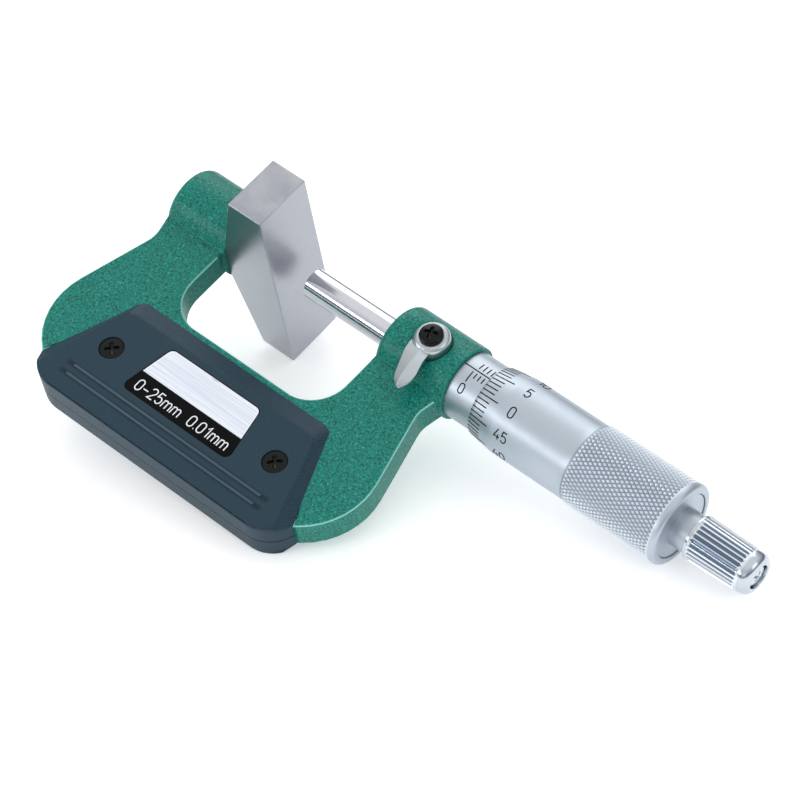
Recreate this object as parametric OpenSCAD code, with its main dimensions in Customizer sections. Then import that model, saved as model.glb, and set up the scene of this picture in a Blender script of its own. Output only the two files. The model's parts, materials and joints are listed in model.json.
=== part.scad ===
// Large anvil micrometer, 0-25 mm by 0.01 mm, millimetres.
// Modelled along its own axis: the spindle moves along X, the back of the frame lies
// towards -Y, and Z is square to the frame. The origin is the centre of the anvil's
// measuring face. rest() then turns everything as it lies on a table.

/* [Measurement] */
// Reading that the micrometer is set to
reading = 4.037; // [0:0.001:18]
// Largest size that it measures
measuring_range = 25; // [22:0.5:28]
// Radius of the spindle
spindle_r = 3.25; // [2.9:0.01:3.4]
// Radial running clearance of the spindle in its bores
run_gap = 0.03; // [0.02:0.01:0.06]

/* [Anvil] */
// Length of the anvil bar, square to the frame
anvil_l = 49; // [40:0.5:60]
// Width of the anvil bar
anvil_w = 13.7; // [11:0.1:16]
// Thickness of the bar at its two ends
anvil_end_t = 8.75; // [7:0.05:10]
// Thickness of the bar at its middle
anvil_crown_t = 13.9; // [12:0.1:16]
// Length of the flat on the crown
anvil_flat_l = 8.6; // [5:0.1:12]
// Radius of the stem that is pressed into the frame
stem_r = 4.2; // [3:0.1:5.5]
// Length of that stem
stem_l = 13; // [8:0.5:16]

/* [Frame] */
// Thickness of the cast web
web_t = 6.6; // [5.5:0.1:7.4]
// Radius along the web's edges
web_edge_r = 0.4; // [0.3:0.05:0.8]
// Radius of both bosses
boss_r = 8.2; // [7.9:0.1:9]
// Length of the anvil's boss
anvil_boss_l = 16.7; // [16:0.1:20]
// Radius round the outer edge of the anvil's boss
boss_end_r = 1.8; // [1:0.1:3]
// Length of the spindle's boss
spindle_boss_l = 18.2; // [17.5:0.1:20]
// Radius round the front edge of the spindle's boss
boss_nose_r = 1.8; // [0.6:0.1:2.5]
// Distance from the open spindle's face to its boss
boss_gap = 2.3; // [1:0.1:4]
// Depth of the throat below the spindle's axis
throat_depth = 24.6; // [22:0.1:28]
// Step from a boss's face back to the throat's wall
wall_step = 0.5; // [0.3:0.1:0.9]
// Radius in the corners of the throat
throat_r = 8.4; // [6:0.1:10]
// Depth of the whole instrument behind the axis
frame_depth = 53; // [51:0.5:56]
// Distance from a boss's outer end back to the corner of its neck
neck_inset = 1.7; // [1.4:0.1:2.2]
// Distance that a neck widens again into its boss
neck_flare = 1.3; // [0.8:0.1:1.3]
// Reach of the belly's corner beyond the throat's wall
belly_w = 23.5; // [22.5:0.1:24.5]
// Radius round the belly
belly_r = 16; // [13:0.5:16.5]
// Radius in the hollow of the neck
neck_in_r = 6.2; // [4:0.1:9]
// Depth of the neck below the axis
neck_y = 12.5; // [11.5:0.1:14]
// Distance of the belly's corner in front of the back
belly_back = 12.8; // [12:0.1:14]

/* [Insulating plates] */
// Thickness of a plate over the web
plate_t = 1.5; // [1.2:0.05:2.2]
// Distance of a plate's front edge behind the throat
plate_setback = 1.2; // [0.5:0.1:1.5]
// Reach of the plate's long edge beyond the throat's wall
plate_top_w = 5.1; // [3:0.1:6]
// Reach of the plate's heel beyond the throat's wall
plate_heel_w = 13.9; // [13:0.1:14.5]
// Distance of the heel in front of the back
plate_heel_back = 5.7; // [5:0.1:6.5]
// Radius round the back corners
plate_back_r = 7.85; // [7:0.05:8.5]
// Radius round the front corners
plate_front_r = 2.6; // [1.5:0.1:3.5]
// Width of the bevel at the two ends
plate_bevel = 2; // [1:0.1:3]
// Width of the bevel along the throat
plate_front_bevel = 4; // [2.5:0.1:4.6]
// Radius along the back edge
plate_edge_r = 0.5; // [0.3:0.05:0.8]
// Wall behind the web
plate_wall = 2.2; // [1.5:0.1:2.6]
// Radius of the two grip ribs
rib_r = 0.35; // [0.2:0.05:0.5]
// Distance of the first rib in front of the back
rib_back = 6.6; // [6:0.1:7.4]
// Distance between the ribs
rib_pitch = 2.3; // [1.5:0.1:2.6]
// Reach of the plate screws beyond the throat's wall
screw_w = 1.9; // [0.5:0.1:3]
// Distance of the screws in front of the back
screw_back = 14.2; // [13:0.1:15.5]
// Radius of a plate screw's head
screw_head_r = 2.6; // [2:0.1:3]
// Radius of a plate screw's thread
screw_r = 1.25; // [1:0.05:1.5]
// Length of a plate screw's thread in the web
screw_l = 2.6; // [1.8:0.1:2.7]
// Plate left under a screw's head
screw_seat = 0.4; // [0.3:0.05:0.6]
// Depth of the head below the plate's face
screw_sunk = 0.2; // [0.1:0.05:0.3]

/* [Range label] */
// Distance of the label behind the plate's front edge
label_setback = 5.5; // [5:0.1:6.5]
// Distance of the label in front of the first rib
label_rib_gap = 2.1; // [1.5:0.1:3]
// Length of the label's upper edge
label_top_l = 24.6; // [20:0.1:26]
// Length of the label's lower edge
label_low_l = 29.6; // [26:0.1:31]
// Thickness of the label
label_t = 0.4; // [0.2:0.05:0.6]
// Radius of the label's corners
label_r = 1.5; // [1:0.1:2.5]
// Gap round the label in its recess
label_gap = 0.05; // [0.02:0.01:0.1]
// Depth of the label's face below the plate's
label_sunk = 0.1; // [0.05:0.05:0.3]

/* [Sleeve] */
// Outside radius of the graduated sleeve
sleeve_r = 7.4; // [7.1:0.05:7.5]
// Wall of the graduated sleeve
sleeve_wall = 0.9; // [0.7:0.05:1.1]
// Distance from the boss to the zero line
zero_gap = 2.78; // [2:0.01:4]
// Radius of the hole that takes the zero-setting spanner
spanner_r = 0.6; // [0.4:0.05:0.8]
// Cover of the sleeve behind its last mark
sleeve_cover = 3.6; // [2:0.1:4.5]
// Depth of the inner sleeve's seat in the boss
seat_l = 5.2; // [4:0.1:5.5]
// Radius of the inner sleeve's seat
seat_r = 5.6; // [5.2:0.1:6.2]
// Radius of the spindle's thread
thread_r = 3.55; // [3.45:0.01:3.7]
// Length of the nut inside the inner sleeve
nut_l = 18; // [14:0.5:20]
// Radius of the inner sleeve's slotted tail
tail_r = 5.7; // [5.3:0.1:6]
// Length of that tail
tail_l = 6; // [4:0.1:6.5]
// Width of a slot in the tail
slot_w = 0.6; // [0.4:0.1:1]
// Outside radius of the adjusting nut
nut_r = 7; // [6.7:0.05:7.2]

/* [Thimble] */
// Outside radius of the thimble's cylinder
thimble_r = 8.6; // [8.4:0.05:8.8]
// Radius of the thimble's front edge
thimble_edge_r = 7.75; // [7.7:0.01:7.9]
// Radial gap between the thimble and the sleeve
thimble_gap = 0.12; // [0.08:0.01:0.15]
// Length of the graduated cone
cone_l = 5.8; // [5:0.1:7]
// Length of the thimble
thimble_l = 48; // [47.5:0.1:50]
// Length of the knurled grip, with its chamfer and rim
knurl_l = 23.8; // [18:0.1:26]
// Radius over the knurl
knurl_r = 9.05; // [8.9:0.01:9.3]
// Length of the chamfer in front of the knurl
knurl_chamfer_l = 1.5; // [1:0.1:2]
// Radius round the rear rim
rim_r = 1; // [0.5:0.1:1.3]
// Thickness of the thimble's hub
hub_t = 6; // [4:0.1:6.5]
// Depth of the recess in the rear end
rear_recess = 3; // [2:0.1:3.6]
// Radius of that recess
rear_recess_r = 7.3; // [6.5:0.1:7.6]
// Radius of the spindle's cone at the hub's rear
taper_r = 2.6; // [2.4:0.05:2.8]
// Thread that is still in the nut at the largest size
engaged_l = 6; // [4:0.1:8]

/* [Ratchet] */
// Radius of the neck
neck_r = 4.2; // [3.8:0.1:4.5]
// Length of the neck that shows
ratchet_neck_l = 3.6; // [2.5:0.1:5]
// Outside radius of the knob at its front
knob_r = 4.85; // [4.7:0.05:5.2]
// Outside radius of the knob at its rear
knob_rear_r = 4.6; // [4.5:0.05:5]
// Length of the knob
knob_l = 15.2; // [14:0.1:17]
// Radius round the knob's rear
knob_round_r = 1.9; // [1:0.1:2.2]
// Number of flutes
flutes = 28; // [20:1:36]
// Depth of a flute
flute_depth = 0.3; // [0.15:0.05:0.4]
// Radius of the knob's bore
knob_bore_r = 3.7; // [3.5:0.05:3.9]
// Number of teeth
teeth = 12; // [12:12:12]
// Height of a tooth
tooth_h = 0.6; // [0.4:0.05:0.8]
// Clearance between the teeth at rest
tooth_gap = 0.1; // [0.06:0.01:0.2]
// Thickness of the pawl ring under its teeth
pawl_t = 1.6; // [1.2:0.1:2]
// Free lift of the pawl ring
pawl_lift = 0.8; // [0.7:0.05:1]
// Radius of the spring's wire
wire_r = 0.25; // [0.2:0.01:0.3]
// Turns of the spring
spring_turns = 5; // [4:1:6]
// Length of the seated spring
spring_l = 6; // [5:0.1:6.2]
// Radius of the stud that holds the base in the spindle
stud_r = 1.6; // [1.2:0.05:1.8]
// Length of that stud
stud_l = 4.5; // [3:0.1:5.5]
// Width of the two keys between the pawl ring and the knob
key_w = 1.2; // [0.8:0.1:1.6]
// Thread radius of the ratchet's screw
ratchet_screw_r = 1.25; // [1:0.05:1.3]
// Head radius of the ratchet's screw
ratchet_head_r = 2.3; // [2.1:0.05:2.5]
// Height of that head
ratchet_head_h = 1.4; // [1:0.1:1.6]
// Depth of that head in the knob's end
ratchet_head_sunk = 0.4; // [0.3:0.1:0.8]
// Thickness of the washer under it
washer_t = 0.4; // [0.3:0.05:0.5]

/* [Spindle lock] */
// Distance of the lever's axis behind the boss's front face
lock_x = 10.2; // [9:0.1:10.3]
// Height of the spot face above the spindle's axis
spot_z = 6.6; // [6:0.1:7]
// Radial gap round the hub in its spot face
spot_gap = 0.35; // [0.25:0.05:0.8]
// Radius of the lever's hub
hub_r = 3.9; // [3.8:0.1:4.4]
// Height of the hub
hub_h = 3.7; // [3:0.1:4]
// Reach of the arm from the lever's axis
arm_l = 12.4; // [11:0.1:13.5]
// Height of the arm's underside above the spot face, so that it clears the boss
arm_low = 1.35; // [1.2:0.05:1.8]
// Width of the arm at its root
arm_w = 4.8; // [4:0.1:5.5]
// Radius of the clamping shaft
shaft_r = 1.9; // [1.6:0.05:2.1]
// Radius of the lock screw's head
lock_head_r = 2.5; // [2.2:0.1:2.8]
// Height of the lock screw's head
lock_head_h = 1.3; // [0.8:0.1:1.4]

/* [Hidden] */
$fn = 64;
// How far a cut or a joined end runs past the face that it meets
over = 1;
// Clearance between pieces that are put together by hand
slack = 0.05;
// Air left at the end of a blind hole
end_gap = 0.4;
// Half of the seam between the two plates
parting = 0.06;

// Stations along the axis
boss_front_x = measuring_range + boss_gap;
boss_rear_x = boss_front_x + spindle_boss_l;
boss_end_x = -anvil_crown_t - anvil_boss_l;
zero_x = boss_rear_x + zero_gap;
sleeve_end_x = zero_x + measuring_range + sleeve_cover;
tail_end_x = sleeve_end_x + tail_l;
thimble_x = zero_x + reading;
thimble_end_x = thimble_x + thimble_l;
recess_x = thimble_end_x - rear_recess;
hub_x = recess_x - hub_t;
knob_x = thimble_end_x + ratchet_neck_l;
knob_end_x = knob_x + knob_l;
lock_axis_x = boss_front_x + lock_x;

// The frame is symmetric about the middle of its throat, apart from its necks
mid_x = (boss_front_x - anvil_crown_t) / 2;
half_throat = (boss_front_x + anvil_crown_t) / 2;
anvil_neck = mid_x - boss_end_x - neck_inset;
spindle_neck = boss_rear_x - mid_x - neck_inset;
half_web = web_t / 2;
web_end_y = 0.9 * sqrt(pow(boss_r, 2) - pow(half_web, 2));
half_grip = half_web + plate_t;
plate_front_y = throat_depth + plate_setback;
plate_heel_y = frame_depth - plate_heel_back;
belly_y = frame_depth - belly_back;
rib_y = frame_depth - rib_back;
screw_y = frame_depth - screw_back;
screw_x = half_throat + screw_w;
label_y = plate_front_y + label_setback;
label_h = rib_y - label_rib_gap - label_y;

// Ratchet, from the base's toothed spigot to the screw's head
spigot_end = knob_x + 2.4;
pawl_x = spigot_end + tooth_gap;
spring_x = pawl_x + tooth_h + pawl_t;
shoulder_x = spring_x + spring_l + 2 * wire_r + 2 * slack;
screw_head_x = knob_end_x - ratchet_head_sunk - ratchet_head_h;
washer_x = screw_head_x - washer_t - slack;

// Centre of the back corners' arc, from the middle and below the axis: it meets the heel
corner_y = frame_depth - plate_back_r;
corner_x = half_throat + plate_heel_w - sqrt(pow(plate_back_r, 2) - pow(plate_heel_y - corner_y, 2));

// Lock, from the plug on the spindle to the screw in the shaft's top
pad_t = 0.9;
shaft_z = spindle_r + run_gap + pad_t + slack;
lever_z = spot_z + slack;
shaft_top = hub_h - 0.6;
lock_thread_r = 0.9;
lock_dome_r = 5;

// Radii that follow from a fit
bore_r = spindle_r + run_gap;
inner_sleeve_r = sleeve_r - sleeve_wall - run_gap;
thread_bore_r = thread_r + slack;
relief_r = thread_r + 0.25;
thimble_bore_r = sleeve_r + thimble_gap;
thread_front_x = tail_end_x - engaged_l - measuring_range + reading;
nut_x = tail_end_x - nut_l;
relief_x = thread_front_x - reading - 0.6;
key_r = knob_bore_r + 0.4;
toothed_r = knob_bore_r - 0.2;
tooth_bore_r = ratchet_screw_r + 0.6;
// The cone in the hub widens by this much towards its front
cone_step = 0.6;

function unit(v) = v / norm(v);
// Point at radius r and angle a about a centre
function polar(c, r, a) = [c[0] + r * cos(a), c[1] + r * sin(a)];
// Corners [x, y, radius] become points, each corner with a radius as an arc of up to n steps
function corner_arc(a, b, c, n) =
    let(u = unit([a[0] - b[0], a[1] - b[1]]),
        v = unit([c[0] - b[0], c[1] - b[1]]),
        half = acos(u * v) / 2,
        centre = [b[0], b[1]] + unit(u + v) * b[2] / sin(half),
        start = [b[0], b[1]] + u * b[2] / tan(half) - centre,
        turn = (u[0] * v[1] - u[1] * v[0] > 0 ? -1 : 1) * (180 - 2 * half))
    [for (k = [0:n]) let(t = turn * k / n)
        centre + [start[0] * cos(t) - start[1] * sin(t), start[0] * sin(t) + start[1] * cos(t)]];
// Arc of n steps about a centre
function arc(c, r, a0, a1, n) = [for (k = [0:n]) polar(c, r, a0 + (a1 - a0) * k / n)];
// A closed outline with every corner [x, y, radius] rounded
function rounded(p, n) =
    [for (i = [0:len(p) - 1])
        each corner_arc(p[(i + len(p) - 1) % len(p)], p[i], p[(i + 1) % len(p)], n)];
function reversed(p) = [for (i = [len(p) - 1:-1:0]) p[i]];
// A path from its left and its right half, each given from the middle outwards
function joined(a, b) =
    concat([for (q = reversed(a)) [mid_x - q[0], q[1]]], [for (q = b) [mid_x + q[0], q[1]]]);
function mirrored(p) = joined(p, p);
// Distance along a path at each of its points, as a share of the whole
function shares(p) =
    let(steps = [for (i = [1:len(p) - 1]) norm(p[i] - p[i - 1])],
        sums = [for (i = 0, d = 0; i <= len(steps);
            d = d + (i < len(steps) ? steps[i] : 0), i = i + 1) d])
    sums / sums[len(sums) - 1];
// Points of a path at given shares of its length
function along(p, at) =
    let(own = shares(p))
    [for (t = at) [for (c = [0, 1]) lookup(t, [for (i = [0:len(p) - 1]) [own[i], p[i][c]]])]];
// Unit normals to the right of an open path, mitred at its corners
function normals(p) =
    [for (i = [0:len(p) - 1])
        let(u = unit(p[max(i, 1)] - p[max(i, 1) - 1]),
            v = unit(p[min(i + 1, len(p) - 1)] - p[min(i + 1, len(p) - 1) - 1]),
            m = unit([u[1] + v[1], -u[0] - v[0]]))
        m / max(0.5, m * [v[1], -v[0]])];
// A closed skin over rings with equal numbers of points, each counter-clockwise from above
module skin(rings) {
    n = len(rings[0]);
    polyhedron(
        points = [for (ring = rings) each ring],
        faces = concat(
            [[for (j = [0:n - 1]) j]],
            [for (i = [0:len(rings) - 2]) for (j = [0:n - 1])
                [i * n + j, (i + 1) * n + j, i * n + (j + 1) % n]],
            [for (i = [0:len(rings) - 2]) for (j = [0:n - 1])
                [(i + 1) * n + j, (i + 1) * n + (j + 1) % n, i * n + (j + 1) % n]],
            [[for (j = [n - 1:-1:0]) (len(rings) - 1) * n + j]]));
}
// Turns a profile of [x, radius] points about the X axis
module turned(profile) {
    rotate([0, 90, 0]) rotate([0, 0, 90])
        rotate_extrude() polygon([for (p = profile) [p[1], p[0]]]);
}
// A plain cylinder along X
module rod(x0, x1, r) {
    translate([x0, 0, 0]) rotate([0, 90, 0]) cylinder(h = x1 - x0, r = r);
}

// The three points that the micrometer lies on: the anvil's lower end, the rim of the
// thimble and the back corner of the rear plate. Each leans a little with the slope,
// so the upward direction n is found in a few passes.
corner_c = [mid_x + corner_x, -corner_y, plate_edge_r - half_grip];
function touch(n) = [
    [0, -anvil_w / 2, -anvil_l / 2],
    [thimble_end_x - rim_r, 0, 0] - (knurl_r - rim_r) * unit([0, n[1], n[2]]) - rim_r * n,
    corner_c - (plate_back_r - plate_edge_r) * unit([n[0], n[1], 0]) - plate_edge_r * n];
function settle(n, k) =
    let(p = touch(n), m = unit(cross(p[2] - p[0], p[1] - p[0])))
    k == 0 ? m : settle(m, k - 1);
up = settle(unit([-0.16, 0.28, 0.95]), 12);
roll = atan2(up[1], up[2]);
pitch = atan2(-up[0], norm([up[1], up[2]]));
module rest() {
    rotate([roll, pitch, 0]) children();
}

// Distance of the plates' slanting ends from the middle, at a depth below the axis
function end_reach(y) = half_throat + plate_top_w
    + (plate_heel_w - plate_top_w) * (y - plate_front_y) / (plate_heel_y - plate_front_y);

// Outer edge of the web, its back edge inside the plates' wrap; and its inner edge
heel_angle = -asin((plate_heel_y - corner_y) / plate_back_r);
rib_reach = half_throat + plate_top_w;
web_back = arc([corner_x, -corner_y], plate_back_r - plate_wall, -90, 0, 8);
web_heel = [end_reach(plate_heel_y), -plate_heel_y];
web_belly = [half_throat + belly_w, -belly_y, belly_r];
function web_side(reach) =
    let(neck = [reach, -neck_y, neck_in_r], tip = [reach + neck_flare, -web_end_y])
    concat(web_back, [[end_reach(corner_y), -corner_y], web_heel],
        corner_arc(web_heel, web_belly, neck, 8), corner_arc(web_belly, neck, tip, 8), [tip]);
web_outer = joined(web_side(anvil_neck), web_side(spindle_neck));
web_inner = along(mirrored(concat(
    corner_arc([0, -throat_depth], [half_throat + wall_step, -throat_depth, throat_r],
        [half_throat + wall_step, 0], 12),
    [[half_throat + wall_step, 0]])), shares(web_outer));

// Cast web: sections with rounded edges that run from one boss round the throat to the other
module web() {
    out = normals(web_outer);
    in = -normals(web_inner);
    turn = [for (a = [0:45:90]) [web_edge_r * (1 - cos(a)), half_web - web_edge_r * (1 - sin(a))]];
    skin([for (i = [0:len(web_outer) - 1]) let(p = web_outer[i], q = web_inner[i]) concat(
        [for (t = reversed(turn)) let(e = p - t[0] * out[i]) [e[0], e[1], t[1]]],
        [for (t = turn) let(e = p - t[0] * out[i]) [e[0], e[1], -t[1]]],
        [for (t = reversed(turn)) let(e = q - t[0] * in[i]) [e[0], e[1], -t[1]]],
        [for (t = turn) let(e = q - t[0] * in[i]) [e[0], e[1], t[1]]])]);
}

module frame() {
    color("#2E8B74") difference() {
        union() {
            web();
            // Boss of the anvil, with a rounded outer end
            turned(concat([[-anvil_crown_t, 0], [-anvil_crown_t, boss_r]],
                arc([boss_end_x + boss_end_r, boss_r - boss_end_r], boss_end_r, 90, 180, 6),
                [[boss_end_x, 0]]));
            // Boss of the spindle, with a rounded nose
            turned(concat([[boss_front_x, 0]],
                arc([boss_front_x + boss_nose_r, boss_r - boss_nose_r], boss_nose_r, 180, 90, 6),
                [[boss_rear_x, boss_r], [boss_rear_x, 0]]));
        }
        rod(-anvil_crown_t - stem_l, -anvil_crown_t + over, stem_r);
        rod(boss_front_x - over, boss_rear_x + over, bore_r);
        rod(boss_rear_x - seat_l, boss_rear_x + over, seat_r);
        // Spot face and bore of the lock
        translate([lock_axis_x, 0, spot_z]) cylinder(h = boss_r, r = hub_r + spot_gap);
        translate([lock_axis_x, 0, 0]) cylinder(h = boss_r, r = shaft_r + run_gap);
        // Tapped holes of the plate screws
        for (side = [0, 1], end = [-1, 1]) mirror([0, 0, side])
            translate([mid_x + end * screw_x, -screw_y, half_web - screw_l])
                cylinder(h = screw_l + over, r = screw_r);
    }
}

// Anvil: a ground bar, thicker towards its middle, with a stem pressed into the frame
module anvil() {
    color("#B4B9C2") union() {
        translate([0, anvil_w / 2, 0]) rotate([90, 0, 0]) linear_extrude(anvil_w)
            polygon([[0, -anvil_l / 2], [0, anvil_l / 2], [-anvil_end_t, anvil_l / 2],
                [-anvil_crown_t, anvil_flat_l / 2], [-anvil_crown_t, -anvil_flat_l / 2],
                [-anvil_end_t, -anvil_l / 2]]);
        rod(-anvil_crown_t - stem_l + end_gap, -anvil_crown_t + over, stem_r);
    }
}

// Outline of a plate at height z: its ends and its front edge are bevelled, and its back
// edge is rounded
function plate_outline(z) =
    let(s = (z - half_web) / plate_t,
        b = plate_edge_r - sqrt(pow(plate_edge_r, 2) - pow(max(0, z - half_grip + plate_edge_r), 2)),
        r = plate_back_r - b, top = plate_front_y + plate_front_bevel * s,
        heel = end_reach(plate_heel_y) - plate_bevel * s,
        ends = arc([corner_x, -corner_y], r, -90, -acos((heel - max(b * 0.2, 0) - corner_x) / r), 8))
    mirrored(concat(ends, corner_arc(ends[8],
        [end_reach(top) - plate_bevel * s, -top, plate_front_r], [0, -top], 6)));

module plate() {
    color("#2F3F4A") difference() {
        union() {
            skin([for (z = [half_web, half_grip - plate_edge_r, half_grip - 0.4 * plate_edge_r,
                half_grip - 0.1 * plate_edge_r, half_grip])
                [for (q = plate_outline(z)) [q[0], q[1], z]]]);
            // Wall that wraps the web's back edge, down to the parting line
            translate([0, 0, parting]) linear_extrude(half_web - parting) polygon(concat(
                mirrored(arc([corner_x, -corner_y], plate_back_r, -90, heel_angle, 8)),
                reversed(mirrored(concat(web_back, [[end_reach(corner_y), -corner_y]])))));
            // Two ribs for the fingers along the back
            for (k = [0, 1])
                translate([mid_x - rib_reach, -rib_y - k * rib_pitch, half_grip - rib_r * 0.3])
                    rotate([0, 90, 0]) cylinder(h = 2 * rib_reach, r = rib_r, $fn = 24);
        }
        for (end = [-1, 1]) translate([mid_x + end * screw_x, -screw_y, 0]) {
            cylinder(h = half_grip + over, r = screw_r + 3 * slack);
            translate([0, 0, half_web + screw_seat]) cylinder(h = plate_t, r = screw_head_r + 2 * slack);
        }
    }
}

// Outline of the label's recess, or of the label with its gap
function label_outline(gap) = rounded([
    [mid_x + label_top_l / 2 - gap, -label_y - gap, label_r],
    [mid_x - label_top_l / 2 + gap, -label_y - gap, label_r],
    [mid_x - label_low_l / 2 + gap, -label_y - label_h + gap, label_r],
    [mid_x + label_low_l / 2 - gap, -label_y - label_h + gap, label_r]], 6);

module front_plate() {
    color("#2F3F4A") difference() {
        plate();
        translate([0, 0, half_grip - label_t - label_sunk])
            linear_extrude(plate_t) polygon(label_outline(0));
    }
}
module rear_plate() {
    mirror([0, 0, 1]) plate();
}
module range_label() {
    color("#D8DADF") translate([0, 0, half_grip - label_t - label_sunk])
        linear_extrude(label_t) polygon(label_outline(label_gap));
}

// Recess for a cross-head driver
module cross_recess(r, depth) {
    for (a = [0, 90]) rotate([0, 0, a])
        translate([-r, -r * 0.2, -depth]) cube([2 * r, r * 0.4, depth + over]);
}
// One plate screw, its head at the top
module plate_screw() {
    head_z = half_web + screw_seat + slack / 2;
    head_top = half_grip - screw_sunk;
    difference() {
        union() {
            translate([0, 0, half_web - screw_l + end_gap / 2])
                cylinder(h = screw_l + screw_seat, r = screw_r);
            translate([0, 0, head_z]) cylinder(h = head_top - head_z, r = screw_head_r);
        }
        translate([0, 0, head_top]) cross_recess(screw_head_r * 0.6, 0.5);
    }
}
module front_plate_screws() {
    color("#151515") for (end = [-1, 1])
        translate([mid_x + end * screw_x, -screw_y, 0]) plate_screw();
}
module rear_plate_screws() {
    mirror([0, 0, 1]) front_plate_screws();
}

// Soft plug between the clamping shaft and the spindle
module lock_pad() {
    color("#B08D4A") translate([lock_axis_x, 0, bore_r]) cylinder(h = pad_t, r = shaft_r);
}
// Clamping shaft that carries the lever, with a tapped hole in its top
module lock_shaft() {
    color("#8E9297") difference() {
        translate([lock_axis_x, 0, shaft_z]) cylinder(h = lever_z + shaft_top - shaft_z - slack, r = shaft_r);
        translate([lock_axis_x, 0, lever_z + slack]) cylinder(h = hub_h, r = lock_thread_r);
    }
}
module lock_screw() {
    color("#151515") translate([lock_axis_x, 0, lever_z]) {
        translate([0, 0, 2 * end_gap]) cylinder(h = hub_h - end_gap, r = lock_thread_r);
        difference() {
            translate([0, 0, hub_h]) intersection() {
                cylinder(h = lock_head_h, r = lock_head_r);
                translate([0, 0, lock_head_h - lock_dome_r]) sphere(r = lock_dome_r);
            }
            translate([0, 0, hub_h + lock_head_h]) cross_recess(lock_head_r * 0.55, 0.6);
        }
    }
}
// Sections of the arm from its root to its tip: share of its length, left edge, right edge
// and ridge as shares of its width, and the fall of the ridge and of the underside
ARM = [[0, -0.68, 0.3, -0.04, 0.3, 0], [0.18, -0.66, 0.37, 0.03, 0.32, 0.1],
       [0.38, -0.56, 0.43, 0.07, 0.45, 0.22], [0.56, -0.42, 0.53, 0.1, 0.7, 0.35],
       [0.73, -0.29, 0.56, 0.13, 1.05, 0.5], [0.87, -0.17, 0.46, 0.14, 1.45, 0.6],
       [0.96, 0, 0.36, 0.16, 1.85, 0.66], [1, 0.17, 0.27, 0.22, 2.2, 0.7]];
// Lever: a rounded hub and a leaf-shaped arm with a ridge, which passes over the boss
module lock_lever() {
    round_r = 1.4;
    arm_from = 2.4;
    color("#C9CCD1") translate([lock_axis_x, 0, lever_z]) difference() {
        union() {
            rotate_extrude() polygon(concat([[0, 0], [hub_r, 0]],
                arc([hub_r - round_r, hub_h - round_r - 0.1], round_r, 0, 60, 4),
                [[hub_r - 1.2, hub_h - 0.1], [hub_r - round_r, hub_h], [0, hub_h]]));
            rotate([90, 0, 0]) skin([for (a = ARM)
                let(y = arm_from + a[0] * (arm_l - arm_from), left = a[1] * arm_w, right = a[2] * arm_w,
                    ridge = a[3] * arm_w, top = hub_h - a[4], low = arm_low - a[5])
                [[left, low, y], [right, low, y], [right, (low + top) / 2, y],
                 [ridge, top, y], [left, (low + 2 * top) / 3, y]]]);
        }
        translate([0, 0, -over]) cylinder(h = shaft_top + over, r = shaft_r + slack / 2);
        cylinder(h = hub_h + over, r = lock_thread_r + 2 * slack);
    }
}

// Inner sleeve: seat in the boss, spindle guide, nut and slotted tail
module inner_sleeve() {
    color("#A9ADB3") difference() {
        union() {
            rod(boss_rear_x - seat_l, boss_rear_x + over, seat_r);
            rod(boss_rear_x, sleeve_end_x, inner_sleeve_r);
            rod(sleeve_end_x - over, tail_end_x, tail_r);
        }
        rod(boss_rear_x - seat_l - over, tail_end_x + over, bore_r);
        rod(relief_x, nut_x, relief_r);
        rod(nut_x - over, tail_end_x + over, thread_bore_r);
        for (a = [0, 60, 120]) rotate([a, 0, 0])
            translate([sleeve_end_x + over, -boss_r, -slot_w / 2]) cube([tail_l, 2 * boss_r, slot_w]);
    }
}
module adjusting_nut() {
    color("#8E9297") difference() {
        rod(sleeve_end_x + 0.6, tail_end_x - 0.8, nut_r);
        rod(sleeve_end_x, tail_end_x + over, tail_r);
    }
}
module graduated_sleeve() {
    color("#C4CCD4") difference() {
        rod(boss_rear_x + slack, sleeve_end_x - 4 * slack, sleeve_r);
        rod(boss_rear_x - over, sleeve_end_x + over, sleeve_r - sleeve_wall);
        translate([boss_rear_x + zero_gap / 2, 0, -sleeve_r - over]) cylinder(h = sleeve_r, r = spanner_r);
    }
}

// Spindle: ground face, guide, threaded length and a cone that the stud draws into the hub
module spindle() {
    edge = 0.15;
    neck_l = 3;
    neck_cut = 0.25;
    cone_r = taper_r + cone_step;
    color("#CDD1D6") difference() {
        turned([[reading, 0], [reading, spindle_r - edge], [reading + edge, spindle_r],
            [thread_front_x - neck_l, spindle_r], [thread_front_x - neck_l, spindle_r - neck_cut],
            [thread_front_x, spindle_r - neck_cut], [thread_front_x, thread_r], [hub_x - cone_step, thread_r],
            [hub_x - cone_step, cone_r], [hub_x, cone_r],
            [recess_x - 2 * slack, taper_r], [recess_x - 2 * slack, 0]]);
        rod(recess_x - stud_l - end_gap, recess_x, stud_r + run_gap);
    }
}

// Thimble: graduated cone, grip and hub in one turned piece
module thimble() {
    grip_x = thimble_end_x - knurl_l;
    color("#C4CCD4") turned(concat(
        [[thimble_x, thimble_bore_r], [thimble_x, thimble_edge_r], [thimble_x + cone_l, thimble_r],
         [grip_x, thimble_r], [grip_x + knurl_chamfer_l, knurl_r]],
        arc([thimble_end_x - rim_r, knurl_r - rim_r], rim_r, 90, 0, 6),
        [[thimble_end_x, rear_recess_r], [recess_x, rear_recess_r], [recess_x, taper_r + run_gap],
         [hub_x, taper_r + cone_step + run_gap], [hub_x, thimble_bore_r]]));
}

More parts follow.
